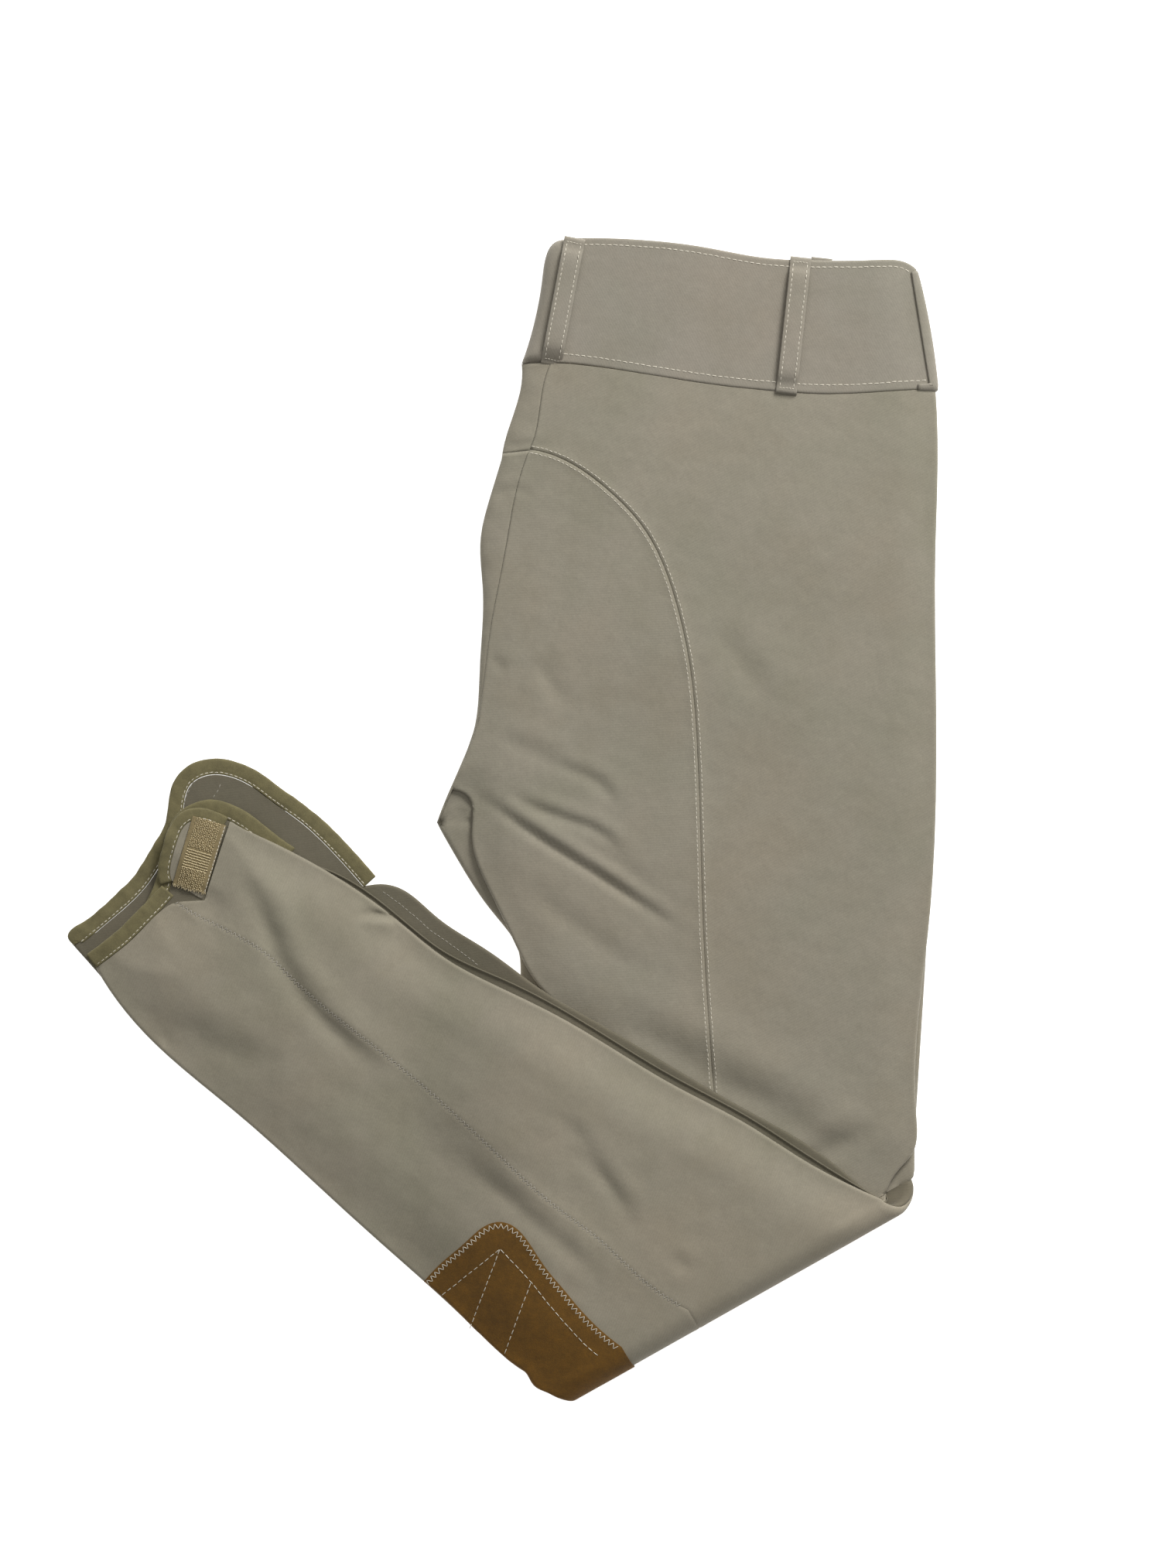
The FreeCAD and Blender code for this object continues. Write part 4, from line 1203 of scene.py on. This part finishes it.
# ---------------------------------------------------------------- belt loops
def strap_axis(node):
    """A straight strap's top and foot, and its width, from its CAD outline."""
    loop = outline(node)
    middle = loop.mean(0)
    even = resampled(loop, 1.0)
    directions = np.linalg.svd(even - even.mean(0))[2]
    along = directions[0] * (1 if directions[0][1] > 0 else -1)
    across = np.array([along[1], -along[0]])
    gap = (loop - middle) @ along
    side = (loop - middle) @ across
    centre = middle + across * (side.max() + side.min()) / 2
    return centre + along * gap.max(), centre + along * gap.min(), np.ptp(side)


SECTION_ACROSS, SECTION_UP = 0.32, 0.55    # powers that square a strap's rounded section
CROWN, CROWN_AT = 0.15, 0.36               # how full its long edges are, and where, as a share of its width


def strap_section(width, thickness):
    """A flat strap's rounded section, across and up, with its long edges a little full."""
    points = []
    for turn in np.linspace(0, 2 * math.pi, 20, endpoint=False):
        c, s = math.cos(turn), math.sin(turn)
        x = math.copysign(abs(c)**SECTION_ACROSS, c) * width / 2
        z = math.copysign(abs(s)**SECTION_UP, s) * thickness / 2
        swell = 1 + CROWN * math.exp(-((abs(x) - width * CROWN_AT) / 0.9)**2)
        points.append((x, z * swell))
    return np.array(points)


OVERHANG = 0.9                 # how far a strap's turned ends run past where it is sewn
TURNED_DOWN = 0.9              # and how far they turn down, on a strap that stands off the band
SEWN, EASE = 3, 7              # a strap lies flat this far from its end, and rises over this length
STITCHES_IN, TACKS_IN = 1.9, 2.0     # from a strap's edges to its stitches, and its ends to its tacks
ROWS_IN, TACK_SHORT = 2.5, 1.5       # from its ends to its rows' ends, and its edges to its tacks' ends
STITCHES_AT = 1.04             # the height of its stitches, as a share of its thickness
STRAP_WAVE = 0.12              # how far its surface waves
STRAP_LEAN = 0.12 * 0.06       # how far it tilts to one side, more or less, where it stands off
END_THINNED, PINCHED = 0.35, 0.03    # how much thinner its turned ends are, and how much narrower its middle


def make_strap(node, base, rise, seed, thickness=1.4):
    """A belt loop: sewn flat at both ends, standing off by rise between. base gives the height beneath it."""
    top, foot, width = strap_axis(node)
    length = float(np.linalg.norm(foot - top))
    along = (foot - top) / length
    across = np.array([-along[1], along[0]])
    lean = np.random.default_rng(seed).normal(0, STRAP_LEAN)

    def between(gap, margin, ease):
        """0 at the strap's ends and 1 between them."""
        return smooth((gap - margin) / ease) * smooth((length - margin - gap) / ease)

    def underside(gap):
        """The height of the strap's underside at distances from its top."""
        inner = top + along * np.clip(gap, 1, length - 1)[:, None]
        wave = STRAP_WAVE * np.sin(np.clip(gap / length, 0, 1) * 9 + seed)
        return base(inner) + rise * between(gap, SEWN, EASE) + wave

    def on_strap(places):
        """Points on the strap's upper face."""
        return np.column_stack([places, underside((places - top) @ along) + thickness * STITCHES_AT])

    marks = np.concatenate([np.linspace(-OVERHANG, 7, 9), np.linspace(8, length - 8, 16),
                            np.linspace(length - 7, length + OVERHANG, 9)])
    past = np.maximum(0, np.maximum(-marks, marks - length)) / OVERHANG
    heights = underside(marks) + thickness / 2 - (TURNED_DOWN if rise else 0) * past**1.6
    section = strap_section(width, thickness)
    sections = []
    for mark, z, over, tilt, full in zip(marks, heights, past, lean * rise * between(marks, SEWN, EASE),
                                         1 - PINCHED * between(marks, 2, 6)):
        place = top + along * mark + across * section[:, :1] * full
        up = section[:, 1] * (1 - END_THINNED * over**2) + section[:, 0] * tilt
        sections.append(np.column_stack([place, z + up]))
    add(node + "_strap", loft(sections), "band", "upper", "waistband_fabric", node)
    rows = []
    ends = np.array([top + along * ROWS_IN, foot - along * ROWS_IN])
    for side in (-1, 1):
        path = spaced(ends + across * side * (width / 2 - STITCHES_IN), 1)
        rows.append(stitch_row(path, on_strap, EDGESTITCH, seed + side))
    for mark in (TACKS_IN, length - TACKS_IN):
        bar = top + along * mark + np.outer((-1, 1), across * (width / 2 - TACK_SHORT))
        rows.append(stitch_row(spaced(bar, 0.5), on_strap, BAR_TACK, seed))
    add(node + "_stitching", joined(rows), "cream", "upper", "thread")


STANDING_LOOPS = ("centre_back_belt_loop", "right_back_belt_loop")
FLAT_LOOPS = ("left_back_belt_loop", "right_front_belt_loop", "left_front_belt_loop")
SIDE_LOOPS = (("right_side_belt_loop", "right_back", "right_front"),
              ("left_side_belt_loop", "left_front", "left_back"))
LOOP_STAND = 2.1               # how far a loop on the upper band stands off it


def make_belt_loops():
    """Seven straps: two stand off the upper band, two go round the sides, and three lie flat beneath."""
    for seed, node in enumerate(STANDING_LOOPS):
        make_strap(node, lambda places: BAND["right_back"].height(places) + CLOTH / 2, LOOP_STAND, 40 + seed)
    for seed, node in enumerate(FLAT_LOOPS):
        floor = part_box(node)[0].z / MM
        make_strap(node, lambda places: np.full(len(places), floor), 0, 50 + seed, thickness=0.85)
    for node, over, under in SIDE_LOOPS:
        make_side_loop(node, BAND[over], BAND[under], over if over.endswith("back") else under)


TUCKED = np.array([2.6, 1.8, 1.0])[:, None]    # how far in from the side fold a side loop starts
OVER_BAND, UNDER_BAND = 0.95, 0.75             # from the middle of the band's plies to the strap's
SIDE_STAND, SIDE_BOW = 0.5, 1.9                # how far it stands out at its ends, and how much more between
SIDE_THICKNESS = 1.0
LEAST_HEIGHT = 0.12                            # the strap stays this far above the floor


def make_side_loop(node, over, under, back):
    """A strap creased round the side fold of two band plies, seen edge-on from above."""
    side = next(run for kind, run in split(back + "_waistband", BAND_KINDS, "rest") if kind == "side")
    marks = spaced(ordered(side, (0, 1)), 1.5)[2:-3]
    sections = []
    for share, mark, out in zip(np.linspace(0, 1, len(marks)), marks, turned_left(marks)):
        stand = SIDE_STAND + SIDE_BOW * math.sin(math.pi * share)**0.7
        tucked = mark - out * TUCKED
        top = over.height(tucked) + OVER_BAND
        low = under.height(tucked) - UNDER_BAND
        turns = np.linspace(0.2, 0.8, 5) * math.pi
        out_by = (TUCKED[2] + stand) * np.sin(turns) - TUCKED[2]
        heights = (top[2] + low[2]) / 2 + (top[2] - low[2]) / 2 * np.cos(turns)
        path = np.vstack([np.column_stack([-TUCKED, top]), np.column_stack([out_by, heights]),
                          np.column_stack([-TUCKED[:0:-1], low[:0:-1]])])
        normal = turned_left(path) * SIDE_THICKNESS / 2
        ring = np.vstack([path + normal, (path - normal)[::-1]])
        sections.append(np.column_stack([mark + out * ring[:, :1], np.maximum(ring[:, 1], LEAST_HEIGHT)]))
    add(node + "_strap", loft(sections), "band", "upper", "waistband_fabric", node)


# ---------------------------------------------------------------- hem bindings
def strip_sides(node):
    """The two long sides of a curved strip, running the same way."""
    loop = outline(node)
    runs = cut_at(loop, np.sort(np.argsort(corner_turns(loop))[-4:]))
    runs.sort(key=lambda run: lengths_along(run)[-1])
    first, second = runs[-1], runs[-2]
    if np.linalg.norm(first[0] - second[0]) > np.linalg.norm(first[0] - second[-1]):
        second = second[::-1]
    return first, second


# A folded ribbon's section: how far in from its outer edge, and its height over and under the cloth.
RIBBON_SECTION = ((0, 0, 0), (0.02, 0.5, 0.5), (0.07, 0.82, 0.8), (0.16, 1.0, 0.9), (0.35, 1.0, 0.9),
                  (0.6, 0.98, 0.9), (0.78, 0.86, 0.9), (0.86, 0.62, 0.85), (0.93, 0.82, 0.8),
                  (0.985, 0.6, 0.7), (1.0, 0.3, 0.3))
RIBBON_STITCH = 0.86           # where across it the ribbon is pressed flat and stitched
RIBBON_STEP = 1.1              # between its sections
RIBBON_OUT, RIBBON_UNEVEN = 0.3, 0.18    # how far it stands out past the CAD's edge, give or take
RIBBON_PUFF = 0.95             # the height of the section's 1, in millimetres


def make_binding(node, ply, panel, body, seed):
    """Folded ribbon sewn round a hem: full at the edge, pressed flat where it is stitched."""
    cloth = segments_of(outline(panel), closed=True)
    inner, outer = sorted(strip_sides(node), key=lambda side: distance_to(side, cloth)[0].mean())
    count = max(24, int(lengths_along(outer)[-1] / RIBBON_STEP))
    outer, inner = evenly(outer, count), evenly(inner, count)
    along = lengths_along(outer)
    wave = undulation(np.column_stack([along, along * 0]), seed, 30, 5)
    shares, over, under = np.array(RIBBON_SECTION).T
    sections = []
    for a, b, w in zip(outer, inner, wave):
        a = a - (b - a) / max(np.linalg.norm(b - a), 1e-6) * (RIBBON_OUT + RIBBON_UNEVEN * w)
        place = a + (b - a) * shares[:, None]
        base = ply.height(place)
        top = np.column_stack([place, base + RIBBON_PUFF * over * (1 + 0.1 * w) + 0.1 * w])
        low = np.column_stack([place, base - RIBBON_PUFF * under])
        sections.append(np.vstack([top, low[:0:-1]]))
    ribbon_name = node.replace("_binding", "_ribbon")
    add(ribbon_name, loft(sections), "binding", body, "binding_ribbon", node)
    path = outer + (inner - outer) * RIBBON_STITCH
    threads = stitch_row(path[1:-1], lambda places: ply.surface(places, RIBBON_PUFF * 0.66), EDGESTITCH, seed)
    add(ribbon_name + "_stitching", threads, "cream", body, "thread")


# Each binding: its node, the ply that it lies on, the panel that it binds, and its body.
BINDINGS = (
    ("right_hem_binding", "right_front", "right_calf_front_panel", "lower_legs"),
    ("left_front_hem_binding", "left_front", "left_calf_front_panel", "lower_legs"),
    ("left_hem_binding", "left_back", "left_calf_inner_panel", "lower_legs"),
    ("left_tab_binding", "left_back", "left_ankle_tab", "left_ankle_tab"),
)


def make_bindings():
    """The ribbons of the three hems and the tab."""
    for seed, (node, ply, panel, body) in enumerate(BINDINGS):
        make_binding(node, CALF[ply], panel, body, 71 + seed)


# ---------------------------------------------------------------- ankle tab and its tapes
CLOSURE_AT, _, _, CLOSURE_OUT = hinge("left_ankle_closure")


def make_ankle_tab():
    """The tab's cloth, lying on the left lower leg's ply."""
    ply = CALF["left_back"]
    places, faces = fill(outline("left_ankle_tab"), 1.6)
    piece = make_object("left_ankle_tab_cloth", ply.surface(places), faces, LOOKS["calf"])
    thickened(piece, CLOTH)
    start = ply.surface(CLOSURE_AT[None])[0] * MM
    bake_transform(piece)
    labelled(piece, "shell_fabric", "left_ankle_tab")
    declare_sheet(piece, places)


class Tape:
    """A closure tape: its corner, directions and sizes, the height beneath it, and its own random draws."""

    def __init__(self, node, base, seed):
        top, foot, self.width = strap_axis(node)
        self.length = float(np.linalg.norm(top - foot))
        self.along = (top - foot) / self.length
        self.across = np.array([self.along[1], -self.along[0]])
        self.corner = foot - self.across * self.width / 2
        self.base = base
        self.draw = np.random.default_rng(seed)

    def spot(self, x, y, x_jitter=0.0, y_jitter=0.0):
        """A place on the tape, that far across and along it, give or take."""
        x = x + self.draw.normal(0, x_jitter)
        return self.corner + self.across * x + self.along * (y + self.draw.normal(0, y_jitter))

    def solid(self, places, rise=0.0):
        """Places with their heights above the tape's level."""
        places = np.array(places)
        return np.column_stack([places, self.base(places) + rise])


SELVEDGE = 2.6                       # plain margin along both sides of a hook tape
HOOK_PITCH, COLUMN_PITCH, RIB_PITCH = 1.05, 1.0, 1.36
RIBS = (0.28, 0.56)                  # the stretch of its length that has bare ribs in place of hooks


def make_hook_tape(node, body, base, seed, face=1):
    """Woven tape with selvedges, columns of hooks, and a band of bare ribs across it."""
    tape = Tape(node, base, seed)
    width, length, along, across, draw = tape.width, tape.length, tape.along, tape.across, tape.draw
    places, faces = fill(outline(node), 1.2, TAPE_RINGS)
    gap = (places - tape.corner) @ across
    swell = 0.22 * np.exp(-((np.minimum(gap, width - gap) - 1.2) / 0.8)**2)
    add(node + "_web", (tape.solid(places, face * swell), faces), "hook_tape", body, "hook_tape", node,
        thickness=0.5)
    rib_from, rib_to = RIBS[0] * length, RIBS[1] * length
    hooks, hook_ways, ribs, rib_ways = [], [], [], []
    for row in np.arange(0.6, length - 0.4, HOOK_PITCH):
        if rib_from < row < rib_to:
            continue
        for k, column in enumerate(np.arange(SELVEDGE, width - SELVEDGE + 0.2, COLUMN_PITCH)):
            hooks.append(tape.spot(column, row + 0.5 * (k % 2), 0.12, 0.12))
            hook_ways.append([*(along + across * draw.normal(0, 0.35)), 0])
    for row in np.arange(rib_from, rib_to, RIB_PITCH):
        for column in np.arange(SELVEDGE, width - SELVEDGE, COLUMN_PITCH):
            ribs.append(tape.spot(column, row, 0.1, 0.07))
            rib_ways.append([*(across + along * draw.normal(0, 0.08)), 0])
    ends = [tape.corner + across * x + along * draw.uniform(-0.7, 0.9) for x in np.arange(0.4, width, 0.55)]
    end_ways = [along[0] + draw.normal(0, 0.5, len(ends)), along[1] + draw.normal(0, 0.5, len(ends)),
                draw.normal(0, 0.15, len(ends))]
    threads = [capsules(tape.solid(hooks, face * 0.45), hook_ways, 0.8, 0.5, 0.95),
               capsules(tape.solid(ribs, face * 0.42), rib_ways, 1.15, 0.62, 0.5),
               capsules(tape.solid(ends, face * 0.45), np.transpose(end_ways), 1.9, 0.28, 0.3)]
    add(node + "_hooks", joined(threads), "hooks", body, "hook_tape")
    edge = tape.corner + across * (width - 0.35)
    path = spaced([edge + along * 0.5, edge + along * (length - 0.5)], 1)
    threads = stitch_row(path, lambda places: tape.solid(places, face * 0.42), TAPE_EDGE, seed)
    add(node + "_edge_stitching", threads, "cream", body, "thread")


LOOP_TAPE_SHARE = 0.6          # what a loop tape keeps of its length, so that the cuff over it hides it
LOOP_PITCH, LOOP_MARGIN = 1.1, 1.0


def make_loop_tape(node, body, base, seed):
    """Woven tape with a pile of small loops."""
    tape = Tape(node, base, seed)
    width, length = tape.width, tape.length * LOOP_TAPE_SHARE
    across, along = tape.across * width, tape.along * length
    corners = tape.corner + np.array([across * 0, across, across + along, along])
    places, faces = fill(corners, 1.5, TAPE_RINGS)
    add(node + "_web", (tape.solid(places), faces), "hook_tape", body, "hook_tape", node, thickness=0.45)
    spots = [tape.spot(x, y, 0.25, 0.25) for x in np.arange(1.2, width - LOOP_MARGIN, LOOP_PITCH)
             for y in np.arange(LOOP_MARGIN, length - 0.8, LOOP_PITCH)]
    ways = np.column_stack([tape.draw.normal(0, 1, (len(spots), 2)), np.zeros(len(spots))])
    add(node + "_pile", capsules(tape.solid(spots, 0.12), ways, 0.95, 0.32, 0.3), "hooks", body, "hook_tape")


def make_tapes():
    """The hook tape on the tab, and the closure tapes inside the cuffs."""
    ply = CALF["left_back"]
    make_hook_tape("left_hook_tape", "left_ankle_tab", lambda places: ply.height(places) + 0.75, 81)
    cuff = level("right_hook_tape") + 0.15
    make_hook_tape("right_hook_tape", "lower_legs", lambda places: np.full(len(places), cuff), 83, -1)
    for seed, node in ((85, "right_loop_tape"), (86, "left_loop_tape")):
        middle = level(node)
        make_loop_tape(node, "lower_legs", lambda places: np.full(len(places), middle), seed)


# ---------------------------------------------------------------- seams that are stitched
# The stitched seams and darts that show on the inside of the right leg's cuff.
CUFF_ROWS = (
    ((-160.0, 20.4), (-163.6, 13.6), (-166.0, 6.0)),
    ((-146.0, 18.8), (-148.0, 14.8), (-150.4, 10.8)),
    ((-62.4, -37.2), (-54.0, -43.2), (-44.4, -51.2), (-36.4, -58.0), (-25.2, -65.6), (-12.4, -75.2)),
)
SEAM_ROW_GAP = 1.7             # from the seat seam to the rows of stitches beside it


def make_seam_stitches():
    """Two rows beside the seat seam, cover stitching on the lower leg's seam, and rows inside the cuff."""
    upper, lower, under = THIGH["right_back"], CALF["left_back"], CALF["right_front"]
    rows = []
    for line in upper.seams:
        line = spaced(ordered(line, (0, 1)), 1.2)
        line = line[np.abs(to_fold(line)[:, 1]) > 1]
        for side, seed in ((-SEAM_ROW_GAP, 3), (SEAM_ROW_GAP, 4)):
            rows.append(stitch_row(beside_line(line, side), upper.face, FINE, seed))
    add("seat_seam_stitching", joined(rows), "cream", "upper", "thread")
    rows = [zigzag_row(spaced(from_fold(line[line[:, 1] > 3]), 1.2), lower.face, 2.6, 2.4, FINE, 5)
            for line in lower.seams]
    add("calf_seam_stitching", joined(rows), "self", "lower_legs", "thread")
    rows = [stitch_row(curve(points, 1.0), under.face, FINE, 8 + i) for i, points in enumerate(CUFF_ROWS)]
    add("cuff_flap_stitching", joined(rows), "self", "lower_legs", "thread")


# ---------------------------------------------------------------- knee patches
PATCH_LIFT = 1.0               # from the middle of the ply's cloth to the middle of the patch's
PATCH_SUEDE = 0.8              # the patch's thickness
PATCH_SEWN_DOWN = 0.55         # how much of its lift the patch loses at its stitched edge


def make_knee_patches():
    """Suede patches on the inside of each knee, in a lower half that goes round the knee fold and a thigh
    half.
    """
    for side, lift in (("left", PATCH_LIFT), ("right", -PATCH_LIFT)):
        ply, thigh = CALF[side + "_back"], THIGH[side + "_back"]
        node = side + "_calf_knee_patch"
        edge, loop = around_fold(node, side + "_back")
        places, faces = fill(loop, MESH_STEP["shown"])
        gap = distance_to(places, segments_of(edge))[0]
        solid = ply.wrapped(places, lift)
        solid[:, 2] -= PATCH_SEWN_DOWN * lift * np.exp(-(gap / 0.5)**2) * (places[:, 1] > 0)
        piece = make_object(side + "_knee_patch_suede", solid, faces, LOOKS["suede"])
        blend_over_fold(thickened(piece, PATCH_SUEDE))
        labelled(piece, "knee_suede", node)
        declare_sheet(piece, places)
        node = side + "_thigh_knee_patch"
        places, faces = fill(outline(node), MESH_STEP["patch"])
        piece = add(side + "_knee_patch_thigh_suede", (thigh.surface(places, -lift), faces), "suede", "upper",
                    "knee_suede", node, thickness=PATCH_SUEDE)
        declare_sheet(piece, places)


# Straight rows fanned from one place at the patch's upper end, the longest of them bent, with a branch.
PATCH_QUILTING = (
    ((-0.8, -220.4), (-31.6, -246.4)),
    ((-0.8, -220.4), (-16.8, -263.2)),
    ((-0.8, -220.4), (15.2, -237.2), (23.6, -247.6), (34.4, -260.0), (45.2, -271.2), (57.6, -280.4),
     (67.2, -284.4)),
    ((15.2, -237.2), (9.2, -253.2), (1.2, -275.6)),
)
PATCH_FROM_FOLD = 1.5          # the patch's stitches end this close to the knee fold


def make_patch_stitches():
    """The zigzag round the patch's edge, and the straight rows fanned over it."""
    ply = CALF["left_back"]

    def on_patch(places):
        """Points on the suede's upper face."""
        return ply.surface(places, PATCH_LIFT + 0.45)

    def clear(line):
        """The part of a line that is away from the knee fold."""
        return line[to_fold(line)[:, 1] > PATCH_FROM_FOLD]

    kinds = {"fold": on_the_fold, "inseam": beside("left_calf_inner_panel")}
    runs = [run for kind, run in split("left_calf_knee_patch", kinds, "edge") if kind == "edge"]
    line = beside_line(clear(spaced(ordered(max(runs, key=len), (-1, 0)), 1.0)), -1.9)
    add("patch_zigzag", zigzag_row(line, on_patch, 2.9, 2.7, PATCH_EDGE, 6), "cream", "lower_legs", "thread")
    rows = [stitch_row(clear(curve(points, 1.0)), on_patch, QUILTING, 7 + i)
            for i, points in enumerate(PATCH_QUILTING)]
    add("patch_quilting", joined(rows), "cream", "lower_legs", "thread")


# ---------------------------------------------------------------- zip and waist fastening
def flat_cloth(node, look, slot, thickness, seed):
    """A hidden straight strip of cloth that follows its CAD outline, with a little unevenness."""
    places, faces = fill(outline(node), MESH_STEP["strip"], STRIP_RINGS)
    solid = np.column_stack([places, level(node) + 0.12 * undulation(places, seed, 60, 12)])
    piece = add(node + "_cloth", (solid, faces), look, "upper", slot, node, thickness=thickness)
    top, foot, width = strap_axis(node)


COIL_PITCH = 1.05              # from one turn of a coil to its next
CORDS_AT = (-0.28, 0.28)       # where a coil's two cords lie, as shares of its width
METAL_PARTS = {"zip_top_stops": "zip_metal", "zip_bottom_stop": "zip_metal", "zip_slider": "zip_metal",
               "zip_pull": "zip_metal", "waist_hooks": "steel", "waist_bars": "steel"}


def make_coil(side, first):
    """One half of the zip's coil: its turns, and the cords that they are sewn down with."""
    node = "zip_coil_" + side
    top, foot, width = strap_axis(node)
    along = (foot - top) / np.linalg.norm(foot - top)
    across = np.array([along[1], -along[0]])
    middle = level(node)
    marks = spaced([top + along * 0.5, foot - along * 0.5], COIL_PITCH / 2)
    turns = marks[first::2]
    ways = np.tile([*(across + 0.25 * along), 0.0], (len(turns), 1))
    places = np.column_stack([turns, np.full(len(turns), middle - 0.25)])
    threads = [capsules(places, ways, width * 1.02, 0.72, 1.15)]
    for share in CORDS_AT:
        places = np.column_stack([marks + across * width * share, np.full(len(marks), middle + 0.1)])
        threads.append(capsules(places, np.tile([*along, 0.0], (len(marks), 1)), 0.75, 0.3, 0.4))
    add(node + "_turns", joined(threads), "coil", "upper", "zip_coil", node)


def make_zip():
    """Fly zip: two tapes, a coil on each, cloth behind and beside them, and the looks of the metal parts."""
    flat_cloth("fly_facing", "facing", "facing_fabric", 0.5, 91)
    flat_cloth("fly_shield", "facing", "facing_fabric", 0.5, 92)
    for seed, side in enumerate(("left", "right")):
        flat_cloth("zip_tape_" + side, "zip_tape", "zip_tape", 0.35, 93 + seed)
        make_coil(side, 1 - seed)
    for node, look in METAL_PARTS.items():
        mesh = frame["nodes"][node].data
        mesh.materials.clear()
        mesh.materials.append(LOOKS[look])


# ---------------------------------------------------------------- camera, floor and light
SKY = 0.27                     # strength of the even light from all round
FLOOR_HALF, FLOOR_LEVEL = 6000, -0.4     # half the floor's width, and its height
FLOOR_GLOW = 0.85              # strength of its own light, which keeps it white
# Each lamp: its name, place and size in metres, and power in watts.
LAMPS = (("window", (1.05, 1.75, 1.25), 0.9, 60.0), ("overhead", (-0.3, 0.6, 2.4), 1.4, 9.0))
LAMPS_AIM = Vector((0.04, 0.0, 0))       # the place that they point at, in metres
VIEW_CENTRE = (44.4, 18.6)     # what the camera is above
VIEW_HEIGHT = 810.8            # what the picture's long side covers
VIEW_LEVEL = 12                # at this height
LENS, SENSOR = 85.0, 36.0


def make_studio():
    """A bright white floor, a broad soft window beyond the waist, and a weaker lamp overhead."""
    world = bpy.data.worlds.new("studio")
    bpy.context.scene.world = world
    world.use_nodes = True
    sky = world.node_tree.nodes["Background"].inputs
    sky["Color"].default_value = (1.0, 1.0, 1.0, 1)
    sky["Strength"].default_value = SKY
    far = FLOOR_HALF
    corners = [(x, y, FLOOR_LEVEL) for x, y in ((-far, -far), (far, -far), (far, far), (-far, far))]
    sweep = Look("white_sweep", 0.9)
    sweep.shader.inputs["Emission Color"].default_value = (1, 1, 1, 1)
    sweep.shader.inputs["Emission Strength"].default_value = FLOOR_GLOW
    make_object("floor", corners, [(0, 1, 2, 3)], sweep.finish_plain((0.9, 0.9, 0.9)), False)
    for name, place, size, power in LAMPS:
        light = bpy.data.lights.new(name, "AREA")
        light.size = size
        light.energy = power
        lamp = bpy.data.objects.new(name, light)
        lamp.location = place
        lamp.rotation_mode = "QUATERNION"
        lamp.rotation_quaternion = (LAMPS_AIM - Vector(place)).to_track_quat("-Z", "Y")
        bpy.context.scene.collection.objects.link(lamp)


def make_camera():
    """The camera straight above, a little beyond the garment's middle."""
    camera = bpy.data.cameras.new("camera")
    camera.lens, camera.sensor_width = LENS, SENSOR
    holder = bpy.data.objects.new("camera", camera)
    distance = VIEW_HEIGHT * LENS / SENSOR
    holder.location = (VIEW_CENTRE[0] * MM, VIEW_CENTRE[1] * MM, (distance + VIEW_LEVEL) * MM)
    bpy.context.scene.collection.objects.link(holder)
    bpy.context.scene.camera = holder


bpy.context.scene.view_settings.view_transform = "Standard"
make_camera()
make_studio()
make_thigh_panels()
make_calf_panels()
make_centre_back()
make_waistband()
make_belt_loops()
make_bindings()
make_ankle_tab()
make_tapes()
make_knee_patches()
make_seam_stitches()
make_patch_stitches()
make_zip()
